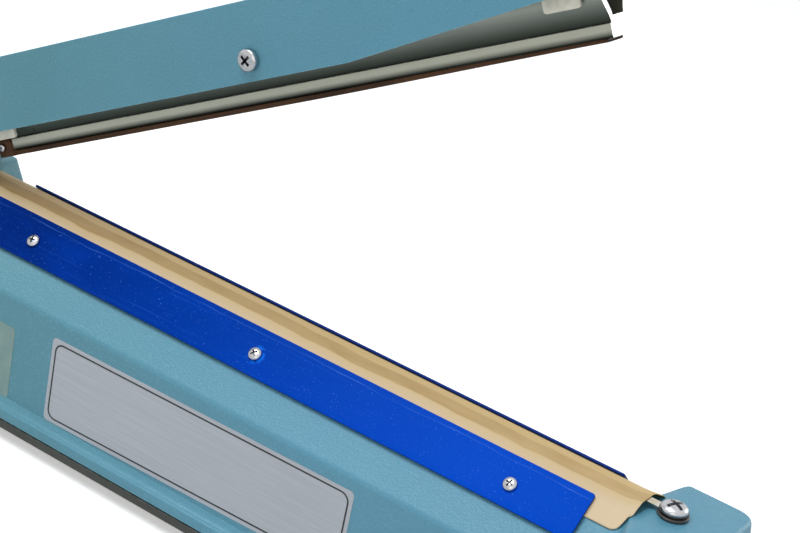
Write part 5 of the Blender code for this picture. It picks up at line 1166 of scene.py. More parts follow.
cloth_seat = GAP + CLOTH_THICK / 2
half_line = [
    (*slope_point(1, -CLOTH_DROP, cloth_seat), 0),
    (*slope_point(1, CLOTH_LEAVES, cloth_seat), MM),
    (-CLOTH_TOP_HALF, CLOTH_Z, 0.8 * MM), (0, CLOTH_Z, 0),
]
line = rounded(half_line, 5)
line = line + [(-u, v) for u, v in reversed(line[:-1])]
stations = [CLOTH_START + (CLOTH_END - CLOTH_CORNER - CLOTH_START) * i / 108 for i in range(109)]
for i in range(1, 11):
    stations.append(CLOTH_END - CLOTH_CORNER * (1 - math.sin(math.radians(90) * i / 10)))
rings, cloth_area, last_x = [], 0.0, CLOTH_START
for x in stations:
    past = clamp((x - CLOTH_END + CLOTH_CORNER) / CLOTH_CORNER)
    cut = CLOTH_CORNER * (1 - math.sqrt(1 - past**2))
    points, CLOTH_WIDTH = evenly(line, 61, cut)
    cloth_area += (CLOTH_WIDTH - 2 * cut) * (x - last_x)
    last_x = x
    ripple = RIPPLE * math.sin(x / RIPPLE_SHORT) * math.sin(x / RIPPLE_LONG + 1.3)
    lift = END_LIFT * eased(x, LIFT_FROM, LIFT_RUN)
    ring = []
    for y, z in points:
        on_top = max(0.0, 1 - (abs(y) / CLOTH_TOP_HALF) ** 4)
        z += on_top * (CROWN + ripple) + lift * clamp((LIFT_HALF - abs(y)) / LIFT_FADE)
        if x > RAMP_START:
            z = max(z, ramp_top(x, y) + cloth_seat)
        drawn_back = END_SLANT * max(0.0, -FOLD_HALF - y)
        pushed_out = END_FLARE * eased(y, FLARE_FROM, FLARE_RUN)
        moved = (pushed_out - drawn_back) * clamp((x - SLANT_FROM) / SLANT_RUN)
        ring.append((x + moved, y, z))
    rings.append(ring)
cloth_mesh = loft("cloth", rings, 60, closed=False, capped=False)
base_cloth = put("coated_cloth", cloth_mesh, "cloth", stands_for=["base_cloth"])
thick = base_cloth.modifiers.new("thickness", "SOLIDIFY")
thick.thickness = CLOTH_THICK
thick.offset = 0
print("the cloth was cut", round(CLOTH_WIDTH / MM, 1), "mm wide")

# %% [markdown]
# Below the ribbon lies an insulating bed of pressed board, with its shoulders planed off so that
# the cloth runs down past them. It is one section pushed along X.

# %% Insulating bed
BED_HALF = 8.0 * MM
BED_FLAT = 5.6 * MM
BED_LOW = RIDGE_Z + GAP
BED_SHOULDER = 83.9 * MM
BED_HIGH = 84.8 * MM
BED_END = 177.5 * MM
bed_section = [
    (-BED_HALF, BED_LOW, 0), (BED_HALF, BED_LOW, 0), (BED_HALF, BED_SHOULDER, 0.2 * MM),
    (BED_FLAT, BED_HIGH, 0.3 * MM), (-BED_FLAT, BED_HIGH, 0.3 * MM),
    (-BED_HALF, BED_SHOULDER, 0.2 * MM),
]
bed_mesh = extruded("bed", [rounded(bed_section, 4)], CLOTH_START, BED_END, ALONG_X)
put("insulating_bed", bed_mesh, "insulator", stands_for=["insulating_strip"])
print("the bed is", round((BED_HIGH - BED_LOW) / MM, 1), "mm thick")

# %% [markdown]
# The two strips are flat bars with eased edges. plate() makes them from an outline, and on_slope()
# leans them. One corner at the handle end is cut rounder, as on the real strips.

# %% Cover strips and their screws
STRIP_LENGTH = 300.0 * MM
STRIP_X = 17.0 * MM
STRIP_HALF = 10.0 * MM
STRIP_THICK = 1.0 * MM
STRIP_UP = -9.1 * MM
STRIP_SEAT = 0.9 * MM
SCREW_PITCH = 120.0 * MM
for side, sign in (("front", 1), ("rear", -1)):
    half = STRIP_LENGTH / 2
    corners = [
        (-half, -STRIP_HALF * sign, 1.0 * MM), (half, -STRIP_HALF * sign, 4.0 * MM),
        (half, STRIP_HALF * sign, 1.0 * MM), (-half, STRIP_HALF * sign, 1.0 * MM),
    ]
    outline = rounded(corners, 8)
    strip_mesh = plate(side + "_cover_strip", [outline], STRIP_THICK, 0.22 * MM)
    put(side + "_cover_strip", strip_mesh, "blue_strip",
        at=on_slope(sign, STRIP_X, STRIP_UP, STRIP_SEAT), stands_for=[side + "_strip"])
    for step in (-1, 0, 1):
        spin = SPINS[(step + 1 + (3 if sign < 0 else 0)) % len(SPINS)]
        at = on_slope(sign, STRIP_X + step * SCREW_PITCH, STRIP_UP - SCREW_DROP,
                      STRIP_SEAT + STRIP_THICK + GAP, spin)
        number = step + 2
        put("%s_clamp_screw_%d" % (side, number), strip_screw_mesh, "steel", at=at,
            stands_for=["%s_strip_screw_%d" % (side, number)])
print("strips:", 2, "with", 6, "screws")

# %% [markdown]
# The ribbon ends at two large screws. Each stands on a dark insulating bush, with a dark washer
# below its head.

# %% Terminals
TERMINAL_PLACES = {"hinge": -167.0 * MM, "handle": 193.0 * MM}
BUSH_Z = 85.0 * MM
TERMINAL_Z = 86.9 * MM
WASHER_GAP = 0.37 * MM
bush_profile = in_mm(
    (2.85, 1.0), (5.7, 1.0), (6.0, 0.7), (6.0, 0), (3.9, 0), (3.9, -5.0), (2.85, -5.0), (2.85, 1.0),
)
bush_mesh = lathe("bush", bush_profile, 56)
washer_profile = in_mm(
    (2.6, 0), (5.4, 0), (5.6, 0.1), (5.6, 0.25), (5.4, 0.35), (2.6, 0.35), (2.6, 0),
)
washer_mesh = lathe("washer", washer_profile, 56)
terminal_mesh = pan_screw("terminal", 5.3 * MM, 2.7 * MM, 2.5 * MM, 20.8 * MM, 0.85, 0.8, 0.15)
for number, (end, x) in enumerate(TERMINAL_PLACES.items()):
    put("insulating_bush_" + end, bush_mesh, "bakelite", at=Matrix.Translation((x, 0, BUSH_Z)),
        stands_for=["terminal_bush_" + end])
    put("washer_" + end, washer_mesh, "black_plastic", at=Matrix.Translation((x, 0, TERMINAL_Z)))
    at = facing((x, 0, TERMINAL_Z + WASHER_GAP), (0, 0, 1), SPINS[number + 3])
    put("contact_screw_" + end, terminal_mesh, "steel", at=at,
        stands_for=["terminal_screw_" + end])
print("terminals at X, mm:", [round(x / MM, 1) for x in TERMINAL_PLACES.values()])

# %% [markdown]
# ## Hinge
# The bracket is folded from 2 mm sheet: a foot with two ears. A channel section pushed along X
# gives the folds, and what it shares with the side view of the ears is the bracket. The same two
# steps, folding and trimming, make the real one.

# %% Hinge bracket
PIVOT = ARM_AT_HOME.translation.copy()
BRACKET_Z = 85.0 * MM
BRACKET_TOP = 87.0 * MM
BRACKET_HALF = 16.5 * MM
BRACKET_BACK = 38.5 * MM
EAR_RADIUS = 7.2 * MM
BRACKET_AHEAD = 8.0 * MM
EAR_TOP = PIVOT.z + EAR_RADIUS + 3.0 * MM
ROD_X = -183.4 * MM
PIN_BORE = 3.3 * MM
ROD_BORE = 3.3 * MM
BUSH_BORE = 6.35 * MM
NOTCH_HALF = 2.6 * MM
BRACKET_SCREW_Y = 10.0 * MM
BRACKET_SCREW_IN = 6.5 * MM
section = [
    (-BRACKET_HALF, EAR_TOP, 0), (-BRACKET_HALF, BRACKET_Z, 3.0 * MM),
    (BRACKET_HALF, BRACKET_Z, 3.0 * MM), (BRACKET_HALF, EAR_TOP, 0),
    (BRACKET_HALF - WALL, EAR_TOP, 0), (BRACKET_HALF - WALL, BRACKET_TOP, 1.0 * MM),
    (-BRACKET_HALF + WALL, BRACKET_TOP, 1.0 * MM), (-BRACKET_HALF + WALL, EAR_TOP, 0),
]
bracket_back = PIVOT.x - BRACKET_BACK
bracket_front = PIVOT.x + BRACKET_AHEAD
channel = extruded(
    "bracket", [rounded(section, 8)], bracket_back - MM, bracket_front + MM, ALONG_X
)
ear_end = (PIVOT.x - EAR_RADIUS, PIVOT.z)
side_view = [
    (bracket_back, BRACKET_Z - MM), (bracket_front, BRACKET_Z - MM), (bracket_front, BRACKET_TOP),
]
side_view += arc((PIVOT.x, PIVOT.z), EAR_RADIUS, 0, 180, 28)
fillet = rounded(
    [(*ear_end, 0), (PIVOT.x - 13.0 * MM, BRACKET_TOP, 4.0 * MM), (bracket_back, BRACKET_TOP, 0)], 8
)
side_view += fillet[1:]
trim = extruded("trim", [side_view], -BRACKET_HALF - MM, BRACKET_HALF + MM, ALONG_Y)
bracket_mesh = carve(channel, trim, "INTERSECT")
bracket_mesh = drilled(bracket_mesh, PIN_BORE, Matrix.Translation(PIVOT) @ ALONG_Y)
foot = (BRACKET_Z - MM, BRACKET_TOP + MM)
bush_at = TERMINAL_PLACES["hinge"]
bracket_mesh = drilled(bracket_mesh, BUSH_BORE, Matrix.Translation((bush_at, 0, 0)), *foot)
notch = extruded(
    "notch", [[(bush_at, -NOTCH_HALF), (bracket_front + MM, -NOTCH_HALF),
               (bracket_front + MM, NOTCH_HALF), (bush_at, NOTCH_HALF)]], *foot
)
bracket_mesh = carve(bracket_mesh, notch)
bracket_mesh = drilled(bracket_mesh, ROD_BORE, Matrix.Translation((ROD_X, 0, 0)), *foot)
bracket = put("folded_bracket", bracket_mesh, "paint", stands_for=["hinge_bracket"])
soft_edges(bracket, 0.22 * MM, 2, 50)
screw_x = PIVOT.x - BRACKET_BACK + BRACKET_SCREW_IN
for number, (side, y) in enumerate((("front", -BRACKET_SCREW_Y), ("rear", BRACKET_SCREW_Y))):
    at = facing((screw_x, y, BRACKET_TOP + GAP), (0, 0, 1), SPINS[number])
    put("hinge_screw_" + side, bracket_screw_mesh, "steel", at=at,
        stands_for=["bracket_screw_" + side])
pin_profile = both_ends(
    in_mm((3.0, 16.8), (4.6, 16.8), (4.6, 17.4), (3.9, 18.0), (2.6, 18.4), (0, 18.4))
)
put("axle_pin", lathe("axle_pin", pin_profile, 48), "steel",
    at=Matrix.Translation(PIVOT) @ ALONG_Y, stands_for=["hinge_pin"])
print("pivot, mm:", [round(v / MM, 2) for v in PIVOT])

# %% [markdown]
# ## The arm
# The arm is a deep channel pressed from 1.2 mm sheet and folded over rounded edges, with a nose
# to press on. Its side view is drawn once, closed across, and then the long edges are bevelled;
# that is the fold. Solidify gives it the thickness of the sheet.

# %% Arm cover
COVER_HALF = 13.0 * MM
COVER_TOP = 24.6 * MM
COVER_LOW = -6.0 * MM
COVER_BEND = 220.2 * MM
COVER_RISE = math.radians(5.2)
SHOULDER = 330.0 * MM
NOSE_END = 392.0 * MM
NOSE_TOP = 19.5 * MM
NOSE_RADIUS = 4.5 * MM
TAIL = 18.0 * MM
TAIL_RADIUS = 6.0 * MM
COVER_WALL = 1.2 * MM
JAW_SCREW = (175.2 * MM, 2.34 * MM)
COVER_FOLD = 4.5 * MM
TAIL_BORE = 2.35 * MM
SCREW_BORE = 2.85 * MM


def cover_line():
    """The line over the arm's top from the tail to the nose, and the line back below it."""
    nose_low = COVER_LOW + (NOSE_END - COVER_BEND) * math.tan(COVER_RISE)
    tail = arc((-TAIL, 0), TAIL_RADIUS, -90, -180, 10)
    corners = [
        (*tail[-1], 0),
        (-TAIL - TAIL_RADIUS + 8.0 * MM, COVER_TOP, 7.0 * MM),
        (SHOULDER, COVER_TOP, 110.0 * MM),
        (NOSE_END, NOSE_TOP, NOSE_RADIUS),
        (NOSE_END, nose_low, NOSE_RADIUS),
        (COVER_BEND, COVER_LOW, 0),
    ]
    return rounded(corners, 10)[:-1], [(COVER_BEND, COVER_LOW)] + tail[:-1]


upper, lower = cover_line()
shape = bmesh.new()
walls = []
for y in (-COVER_HALF, COVER_HALF):
    walls.append([shape.verts.new((u, y, v)) for u, v in upper + lower])
for side_wall in walls:
    shape.faces.new(side_wall)
for i in range(len(upper) - 1):
    shape.faces.new((walls[0][i], walls[0][i + 1], walls[1][i + 1], walls[1][i]))
folds = []
for edge in shape.edges:
    across_by = abs(edge.verts[0].co.y - edge.verts[1].co.y)
    if len(edge.link_faces) == 2 and across_by < 1e-9:
        folds.append(edge)
bmesh.ops.recalc_face_normals(shape, faces=shape.faces)
bmesh.ops.bevel(
    shape, geom=folds, offset=COVER_FOLD, segments=9, profile=0.5, affect="EDGES", clamp_overlap=True
)
cover_mesh = mesh_from(shape, "arm_cover")
holder = bpy.data.objects.new("arm_cover", cover_mesh)
wall = holder.modifiers.new("wall", "SOLIDIFY")
wall.thickness = COVER_WALL
wall.offset = -1
wall.use_even_offset = True
wall.use_quality_normals = True
cover_mesh = solid_of(holder)
for radius, x, z in ((PIN_BORE, 0, 0), (TAIL_BORE, -TAIL, 0), (SCREW_BORE, *JAW_SCREW)):
    cover_mesh = drilled(cover_mesh, radius, Matrix.Translation((x, 0, z)) @ ALONG_Y)
cover_mesh.transform(ARM_AT_HOME)
put("pressed_cover", cover_mesh, "paint", "arm", stands_for=["arm_cover"])
print("arm cover:", len(cover_mesh.polygons), "faces")

# %% [markdown]
# Round things on the arm lie across it: the pin in its tail that pulls the rod, two nylon washers
# at the hinge, and in the middle the big screw that the jaw rocks on, with its nut behind.

# %% Pins, washers and the jaw's screw
WASHER_THICK = 0.9 * MM
front_of_arm = ARM_AT_HOME @ facing((JAW_SCREW[0], -COVER_HALF - GAP, JAW_SCREW[1]), FRONT, 30)
tail_profile = both_ends(in_mm((2.0, 13.2), (1.6, 13.6), (0, 13.6)))
put("tail_cross_pin", lathe("tail_cross_pin", tail_profile, 36), "steel", "arm",
    ARM_AT_HOME @ Matrix.Translation((-TAIL, 0, 0)) @ ALONG_Y, ["tail_pin"])
spacer_profile = in_mm(
    (3.3, 0), (5.8, 0), (6.0, 0.2), (6.0, 0.7), (5.8, 0.9), (3.3, 0.9), (3.3, 0),
)
spacer_mesh = lathe("spacer", spacer_profile, 48)
for side, y in (("front", -COVER_HALF - GAP - WASHER_THICK), ("rear", COVER_HALF + GAP)):
    at = ARM_AT_HOME @ Matrix.Translation((0, y, 0)) @ Matrix.Rotation(math.radians(-90), 4, "X")
    put("nylon_washer_" + side, spacer_mesh, "nylon", "arm", at, ["hinge_spacer_" + side])
jaw_screw_mesh = pan_screw("jaw_screw", 4.4 * MM, 3.2 * MM, 2.5 * MM, 30.6 * MM, 0.4)
put("rocking_screw", jaw_screw_mesh, "steel", "arm", front_of_arm, ["jaw_screw"])
NUT_RADIUS = 4.6 * MM
nut_outline = arc((0, 0), NUT_RADIUS, 0, 300, 5)
bore = arc((0, 0), SCREW_BORE, 0, 360 * 31 / 32, 31)
nut_mesh = plate("nut", [nut_outline, bore], 4.0 * MM, 0.35 * MM)
put("lock_nut", nut_mesh, "steel", "arm",
    ARM_AT_HOME @ facing((JAW_SCREW[0], COVER_HALF + GAP, JAW_SCREW[1]), (0, 1, 0), 15), ["jaw_nut"])
print("the jaw's screw sits", JAW_SCREW[0] / MM, "mm along the arm")

# %% [markdown]
# ## The jaw
# The pressing bar is an extrusion: a square foot that carries the rubber, flanks that sweep out,
# and an open channel above. So its section is drawn once and pushed along the arm.

# %% Jaw bar
JAW_START = 23.6 * MM
JAW_END = 326.8 * MM
JAW_LOW = -15.261 * MM
JAW_TALL = 24.0 * MM
JAW_HALF = 10.0 * MM
FOOT_HALF = 6.5 * MM
FOOT_TALL = 5.0 * MM
NECK_HALF = 5.6 * MM
FLARE_TALL = 12.0 * MM
CHANNEL_FLOOR = 7.4 * MM
JAW_WALL = 1.6 * MM
SMALL_HOLE = (45.5 * MM, 0, JAW_LOW + 6.9 * MM)
SMALL_BORE = 0.6 * MM


def flare(share):
    """How far the flank has swept out at a share of its height."""
    return smooth_step(share) ** 0.9


def jaw_section(steps=16):
    inner = JAW_HALF - JAW_WALL
    floor_half = NECK_HALF - JAW_WALL
    foot_corners = [
        (0, 0, 0), (FOOT_HALF, 0, 0.5 * MM), (FOOT_HALF, FOOT_TALL, 0.3 * MM), (NECK_HALF, FOOT_TALL, 0)
    ]
    outside = rounded(foot_corners, 5)[1:]
    for i in range(1, steps + 1):
        share = i / steps
        half = NECK_HALF + (JAW_HALF - NECK_HALF) * flare(share)
        outside.append((half, FOOT_TALL + FLARE_TALL * share))
    outside += [(JAW_HALF, JAW_TALL - 0.3 * MM), (JAW_HALF - 0.3 * MM, JAW_TALL)]
    inside = [(inner, JAW_TALL)]
    for i in range(steps, 0, -1):
        share = i / steps
        half = floor_half + (inner - floor_half) * flare(share)
        inside.append((half, CHANNEL_FLOOR + FLARE_TALL * share))
    inside.append((floor_half, CHANNEL_FLOOR))
    right_side = outside + inside
    return right_side + [(-u, v) for u, v in reversed(right_side)]


jaw_lift = Matrix.Translation((0, 0, JAW_LOW))
bar_mesh = extruded("jaw_bar", [jaw_section()], JAW_START, JAW_END, jaw_lift @ ALONG_X)
screw_at = Matrix.Translation((JAW_SCREW[0], 0, JAW_SCREW[1])) @ ALONG_Y
bar_mesh = drilled(bar_mesh, SCREW_BORE, screw_at)
small_hole_at = Matrix.Translation(SMALL_HOLE) @ ALONG_Y
bar_mesh = drilled(bar_mesh, SMALL_BORE, small_hole_at, 0)
put("pressing_bar", bar_mesh, "aluminium", "jaw", ARM_AT_HOME, ["jaw_bar"])
print("jaw bar:", round((JAW_END - JAW_START) / MM, 1), "mm long")

# %% [markdown]
# Under the bar lies a strip of brown silicone rubber, and over it a coated tape that keeps hot
# film from sticking. At the hinge end the tape folds round the foot and a small screw holds it.
# The tape is one sheet again: narrow along the rubber, wide round the foot.

# %% Rubber, tape and guide pads
RUBBER_LOW = JAW_LOW - 1.8 * MM
RUBBER_END = JAW_END - 3.0 * MM
THINS_FROM = 190.0 * MM
THINNING = 1.0 * MM
RUBBER_HALF = 5.0 * MM
RUBBER_HALF_TALL = 0.75 * MM


def thinned(x):
    """How much thinner the rubber has become at a place along the jaw."""
    return THINNING * eased(x, THINS_FROM, JAW_END - THINS_FROM)


rings = []
for i in range(31):
    x = JAW_START + GAP + (RUBBER_END - JAW_START - GAP) * i / 30
    outline = box_outline(RUBBER_HALF, RUBBER_HALF_TALL - thinned(x) / 2, 0.2 * MM, 5)
    middle_z = RUBBER_LOW + RUBBER_HALF_TALL + thinned(x) / 2
    rings.append([(x, u, v + middle_z) for u, v in outline])
rubber_mesh = loft("rubber", rings)
put("pressing_rubber", rubber_mesh, "silicone", "jaw", ARM_AT_HOME, ["rubber_strip"])

TAPE_THICK = 0.3 * MM
TAPE_LOW = JAW_LOW - 2.25 * MM
WRAP_END = JAW_START + 7.4 * MM
STEP_END = WRAP_END + 1.2 * MM
NARROW_HALF, WIDE_HALF = 5.45 * MM, 6.95 * MM
tape_end = JAW_START - GAP - TAPE_THICK / 2


def tape_line(half, high):
    corners = [
        (-half, high, 0), (-half, TAPE_LOW, 0.5 * MM), (half, TAPE_LOW, 0.5 * MM), (half, high, 0)
    ]
    return evenly(rounded(corners, 5), 41)


narrow, narrow_length = tape_line(NARROW_HALF, JAW_LOW - 0.35 * MM)
wide, wide_length = tape_line(WIDE_HALF, JAW_LOW + FOOT_TALL)
rings = []
for x, share in ((tape_end, 0.0), (JAW_START + 5 * MM, 0.0), (WRAP_END, 0.0), (STEP_END, 1.0)):
    rings.append([(x, *w.lerp(n, share)) for w, n in zip(wide, narrow)])
for i in range(1, 61):
    x = STEP_END + (RUBBER_END - STEP_END) * i / 60
    rings.append([(x, u, min(v + thinned(x), JAW_LOW - 0.2 * MM)) for u, v in narrow])
tape_mesh = loft("tape", rings, 60, closed=False, capped=False)
jaw_tape = put("coated_tape", tape_mesh, "tape", "jaw", ARM_AT_HOME, ["jaw_tape"])
thick = jaw_tape.modifiers.new("thickness", "SOLIDIFY")
thick.thickness = TAPE_THICK
thick.offset = 0
tape_area = wide_length * (WRAP_END - tape_end) + narrow_length * (RUBBER_END - STEP_END)
tape_area += (wide_length + narrow_length) / 2 * (STEP_END - WRAP_END)
TAPE_SCREW = (JAW_START + 2.2 * MM, -7.4 * MM, JAW_LOW + 1.9 * MM)
tape_screw_mesh = pan_screw("tape_screw", 1.6 * MM, 1.0 * MM, 1.0 * MM, 5.0 * MM, 0.7)
put("tape_clamp_screw", tape_screw_mesh, "steel", "jaw",
    ARM_AT_HOME @ facing(TAPE_SCREW, FRONT, 20), ["tape_screw"])

PAD_HALF = 7.4 * MM
PAD_THICK = 1.2 * MM
PADS = (
    ("hinge", JAW_START + 8.7 * MM, 5.4 * MM),
    ("handle", JAW_END - 14.4 * MM, 12.2 * MM),
)
for name, x, low in PADS:
    inner = JAW_HALF + GAP
    outer = inner + PAD_THICK
    under = JAW_LOW + JAW_TALL + GAP
    top = under + PAD_THICK
    low += JAW_LOW
    saddle = [
        (outer, low, 0.4 * MM), (outer, top, 1.5 * MM),
        (-outer, top, 1.5 * MM), (-outer, low, 0.4 * MM),
        (-inner, low, 0), (-inner, under, 0.5 * MM), (inner, under, 0.5 * MM), (inner, low, 0),
    ]
    mesh = extruded("pad", [rounded(saddle, 8)], x - PAD_HALF, x + PAD_HALF, ALONG_X)
    sides = [
        (x - PAD_HALF - MM, top + MM, 0), (x - PAD_HALF, low, 1.6 * MM),
        (x + PAD_HALF, low, 1.6 * MM), (x + PAD_HALF + MM, top + MM, 0),
    ]
    trim = extruded("pad_sides", [rounded(sides, 6)], -outer - MM, outer + MM, ALONG_Y)
    mesh = carve(mesh, trim, "INTERSECT")
    pad = put("slide_pad_" + name, mesh, "nylon", "jaw", ARM_AT_HOME, ["guide_pad_" + name])
    soft_edges(pad, 0.35 * MM, 3, 50)
print("tape area, square cm:", round(tape_area * 1e4, 1))

# %% [markdown]
# ## Front controls
# The timer has a silver dial with generic numbers, ticks between them, and a black fluted knob
# with a white line. The knob's grip is a circle whose radius waves, stacked over its skirt.

# %% Dial, numbers and ticks
dial_middle = middle("dial_plate")
DIAL_FRONT = -(BODY_HALF + GAP)
DIAL_THICK = 0.8 * MM
TICK_FROM = 13.9 * MM
LONG_TICK = (15.7 * MM, 0.22 * MM)
SHORT_TICK = (14.9 * MM, 0.14 * MM)
TICK_TALL = 0.04 * MM
NUMBER_RADIUS = 17.6 * MM
DIAL_FACE = DIAL_FRONT - DIAL_THICK
dial_place = facing((dial_middle.x, DIAL_FRONT, dial_middle.z), FRONT)
dial_profile = in_mm(
    (4.85, 0), (20.2, 0), (20.5, 0.3), (20.3, 0.7), (19.9, 0.8), (19.4, 0.68), (4.85, 0.68), (4.85, 0),
)
put("dial_disc", lathe("dial_disc", dial_profile, 96), "dial", at=dial_place,
    stands_for=["dial_plate"])
SWEEP = math.radians(JOINTS["timer_turn"]["range_deg"][1] - JOINTS["timer_turn"]["range_deg"][0])
FIRST_MARK = math.pi / 2 + SWEEP / 2
MARKS = 8
print_level = 0.70 * MM
shape = bmesh.new()
for i in range((MARKS - 1) * 4 + 1):
    turn = FIRST_MARK - SWEEP * i / ((MARKS - 1) * 4)
    tick_to, half = SHORT_TICK if i % 4 else LONG_TICK
    bar = bmesh.ops.create_cube(shape, size=1.0)["verts"]
    middle_at = Matrix.Translation(((TICK_FROM + tick_to) / 2, 0, print_level))
    size = Matrix.Diagonal((tick_to - TICK_FROM, 2 * half, TICK_TALL, 1))
    place = Matrix.Rotation(turn, 4, "Z") @ middle_at @ size
    bmesh.ops.transform(shape, matrix=place, verts=bar)
put("dial_ticks", mesh_from(shape, "dial_ticks"), "black_plastic", at=dial_place)
for i in range(MARKS):
    turn = FIRST_MARK - SWEEP * i / (MARKS - 1)
    text = bpy.data.curves.new("number", "FONT")
    text.body = str(i + 1)
    text.size = 3.6 * MM
    text.align_x = "CENTER"
    text.align_y = "CENTER"
    text.extrude = 0.02 * MM
    number_mesh = solid_of(bpy.data.objects.new("number", text))
    spot = (NUMBER_RADIUS * math.cos(turn), NUMBER_RADIUS * math.sin(turn), print_level)
    at = Matrix.Translation(spot)
    put("dial_number_%d" % (i + 1), number_mesh, "black_plastic", at=dial_place @ at)
print("marks:", MARKS, "over", round(math.degrees(SWEEP)), "degrees")

# %% Knob
KNOB_BACK = DIAL_FACE - GAP
knob_place = facing((dial_middle.x, KNOB_BACK, dial_middle.z), FRONT)


def knob_ring(radius, flute=0.0, count=144):
    ring = []
    for i in range(count):
        turn = math.tau * i / count
        reach = radius - flute * (1 - math.cos(turn * 12)) / 2
        ring.append((reach * math.cos(turn), reach * math.sin(turn)))
    return ring


KNOB_LEVELS = (
    (6.9, 0, 2.0), (6.9, 0, 0), (12.6, 0, 0), (13.0, 0, 0.4), (13.0, 0, 2.2), (12.8, 0, 2.7),
    (12.2, 0, 3.0), (10.8, 0, 3.1), (10.15, 0.3, 3.4), (10.0, 0.5, 4.2), (9.25, 0.5, 12.8),
    (9.0, 0.4, 13.5), (8.5, 0.15, 13.9), (8.0, 0, 14.0), (7.2, 0, 13.75),
)
knob_levels = []
for radius, flute, height in KNOB_LEVELS:
    knob_levels.append((knob_ring(radius * MM, flute * MM), height * MM))
put("fluted_knob", stack("fluted_knob", knob_levels, sharp=30), "black_plastic", "knob",
    knob_place, ["timer_knob"])
pointer_outline = rounded(
    in_mm((-0.45, 1.5, 0.3), (0.45, 1.5, 0.3), (0.45, 7.0, 0.3), (-0.45, 7.0, 0.3))
)
pointer = plate("pointer", [pointer_outline], 0.12 * MM)
put("pointer_line", pointer, "nylon", "knob",
    knob_place @ Matrix.Rotation(SWEEP / 2, 4, "Z") @ Matrix.Translation((0, 0, 13.72 * MM)))
print("knob stands", KNOB_LEVELS[-2][2], "mm proud")

# %% [markdown]
# The red lamp is a small domed lens in a black bezel, and the outlet of the mains lead in the end
# wall is a moulded grommet. Both are turned.

# %% Lamp and outlet
lamp_middle = middle("lamp_bezel")
lamp_place = facing((lamp_middle.x, DIAL_FRONT, lamp_middle.z), FRONT)
bezel_profile = in_mm(
    (3.9, 1.2), (4.3, 1.6), (4.7, 1.6), (5.0, 1.2), (5.2, 0.2),
    (5.1, 0), (4.5, 0), (4.5, -8.0), (3.9, -8.0), (3.9, 1.2),
)
put("lamp_ring", lathe("lamp_ring", bezel_profile, 56), "black_plastic", at=lamp_place,
    stands_for=["lamp_bezel"])
LENS_RADIUS = 3.6 * MM
LENS_RIM, LENS_DOME, LENS_BACK = 1.6 * MM, 3.0 * MM, -9.4 * MM
lens_profile = [(0, 4.6 * MM)]
for i in range(1, 11):
    turn = math.radians(90) * i / 10
    lens_profile.append((LENS_RADIUS * math.sin(turn), LENS_RIM + LENS_DOME * math.cos(turn)))
lens_profile += [(LENS_RADIUS, LENS_BACK), (0, LENS_BACK)]
put("lamp_glass", lathe("lamp_glass", lens_profile, 56), "red_lens", at=lamp_place,
    stands_for=["lamp_lens"])
OUTLET_Z = 26.0 * MM
outlet_place = facing((-BODY_HALF_LENGTH, 0, OUTLET_Z), (-1, 0, 0))
outlet_profile = in_mm(
    (3.6, 2.9), (8.0, 2.9), (8.7, 2.6), (9.0, 1.9), (9.0, 0.6), (8.7, 0.3), (6.3, 0.3),
    (6.3, -2.3), (8.4, -2.3), (8.4, -4.5), (3.6, -4.5), (3.6, 2.9),
)
put("outlet_grommet", lathe("outlet_grommet", outlet_profile, 64), "foot_rubber", at=outlet_place,
    stands_for=["lead_outlet"])
print("lamp at X, mm:", round(lamp_middle.x / MM, 1))

# %% [markdown]
# ## Labels
# The real machine has a printed plate on its front and a sticker by the hinge. Their words stay
# off, so both are bare: a thin silver plate with a dark border line, and a plain sticker. Each is
# drawn between its four corners, because neither lies quite straight.

# %% Bare labels
LABEL_THICK = 0.12 * MM
BORDER_THICK = 0.03 * MM
OFF_WALL = 0.02 * MM
LABEL_CORNER = 2.0
BORDER_CORNERS = (4.2, 3.5)
BORDER_WIDTH = 0.75
label_silver = toned("label_silver", (186, 189, 196), 0.4, (182, 185, 192), (190, 193, 200),
                     (900, 3, (0.03, 1, 1)), ((90, 3), 0.15, 0.0001), 0.4)
vary_gloss(label_silver, pattern(label_silver, 60, 5), 0.34, 0.46)
FINISHES["label_silver"] = label_silver


def label(name, corners, finish, border=None):
    """A thin plate on the front wall between four corners (x, z), perhaps with a border line."""
    middle_x = sum(x for x, z in corners) / 4
    middle_z = sum(z for x, z in corners) / 4

    def drawn_in_by(inset, radius):
        inner = []
        for x, z in corners:
            u = x - math.copysign(inset, x - middle_x)
            v = z - math.copysign(inset, z - middle_z)
            inner.append((u * MM, v * MM, radius * MM))
        return rounded(inner, 8)

    face = facing((0, -BODY_HALF - OFF_WALL, 0), FRONT)
    sheet = put(name, plate(name, [drawn_in_by(0, LABEL_CORNER)], LABEL_THICK), "dial", at=face)
    sheet.data.materials[0] = finish
    if border:
        loops = [
            drawn_in_by(border, BORDER_CORNERS[0]),
            drawn_in_by(border + BORDER_WIDTH, BORDER_CORNERS[1]),
        ]
        put(name + "_border", plate(name + "_border", loops, BORDER_THICK), "black_plastic",
            at=face @ Matrix.Translation((0, 0, LABEL_THICK)))


INFO_CORNERS = ((-70.7, 12.8), (83.8, 16.4), (83.8, 53.8), (-70.7, 51.7))
label_clear = toned("label_clear", (132, 162, 158), 0.3, (126, 157, 154), (140, 168, 163),
                    (120, 4), ((400, 3), 0.3, 0.0001))
STICKER_CORNERS = ((-144, 12.5), (-91.7, 12.5), (-91.7, 45.9), (-144, 45.9))
label("info_label", INFO_CORNERS, label_silver, border=1.7)
label("side_sticker", STICKER_CORNERS, label_clear)
print("labels are bare")
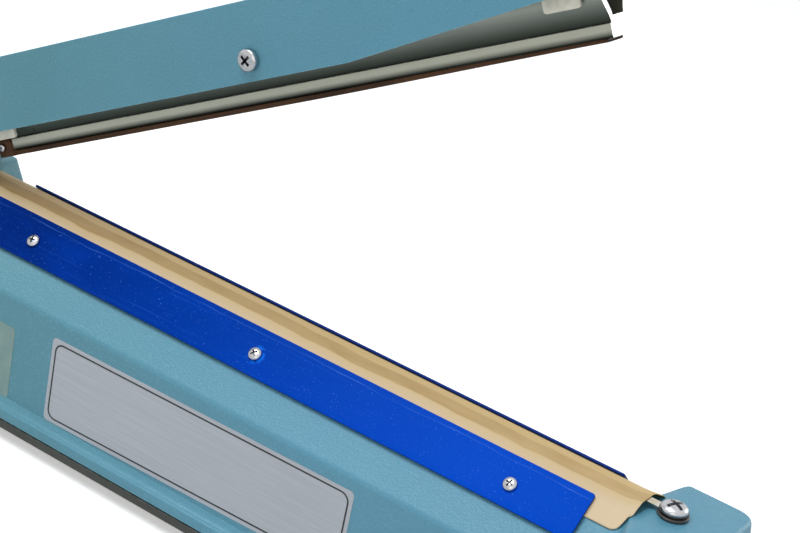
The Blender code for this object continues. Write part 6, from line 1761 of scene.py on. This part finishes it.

# %% [markdown]
# Inside the hinge end a compression spring stands round the pull rod, between the rod's collar
# and the underside of the housing, and it throws the arm open. Its wire could be a bevelled curve,
# but rings set out along a helix give clean quads. The last turn at each end closes up, as on a
# ground spring, and lies a little into the next one.

# %% Return spring
SPRING_WIRE = 0.6 * MM
SPRING_TURNS = 8
WIRE_SIDES = 10
TURN_STEPS = 24
CLOSED_RISE = 2 * SPRING_WIRE * 0.55
spring_low, spring_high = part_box("return_spring")
spring_middle = (spring_low + spring_high) / 2
spring_tall = spring_high.z - spring_low.z
coil_radius = (spring_high.x - spring_low.x) / 2 - SPRING_WIRE
coil_rise = spring_tall - 2 * SPRING_WIRE


def coil_point(turns):
    """The wire's middle after so many turns, from the foot up."""
    if turns < 1:
        height = CLOSED_RISE * turns
    elif turns > SPRING_TURNS - 1:
        height = coil_rise - CLOSED_RISE * (SPRING_TURNS - turns)
    else:
        open_rise = coil_rise - 2 * CLOSED_RISE
        height = CLOSED_RISE + open_rise * (turns - 1) / (SPRING_TURNS - 2)
    angle = math.tau * turns
    height -= coil_rise / 2
    return Vector((coil_radius * math.cos(angle), coil_radius * math.sin(angle), height))


rings = []
for i in range(SPRING_TURNS * TURN_STEPS + 1):
    wire_middle = coil_point(i / TURN_STEPS)
    outward = Vector((wire_middle.x, wire_middle.y, 0)).normalized()
    spokes = arc((0, 0), SPRING_WIRE, 0, 360 * (WIRE_SIDES - 1) / WIRE_SIDES, WIRE_SIDES - 1)
    rings.append([wire_middle + u * outward + v * Vector((0, 0, 1)) for u, v in spokes])
coil = put("return_coil", loft("return_coil", rings, 60), "steel",
           at=HOME.inverted() @ Matrix.Translation(spring_middle), stands_for=["return_spring"])
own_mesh(coil)
print("spring, mm:", round(spring_tall / MM, 1), "tall,", round(coil_radius / MM, 2), "to its wire")

# %% Print the box of the machine
bpy.context.view_layer.update()
print("CAD box, mm:", [round(v / MM, 2) for v in (*CAD_LOW, *CAD_HIGH)])
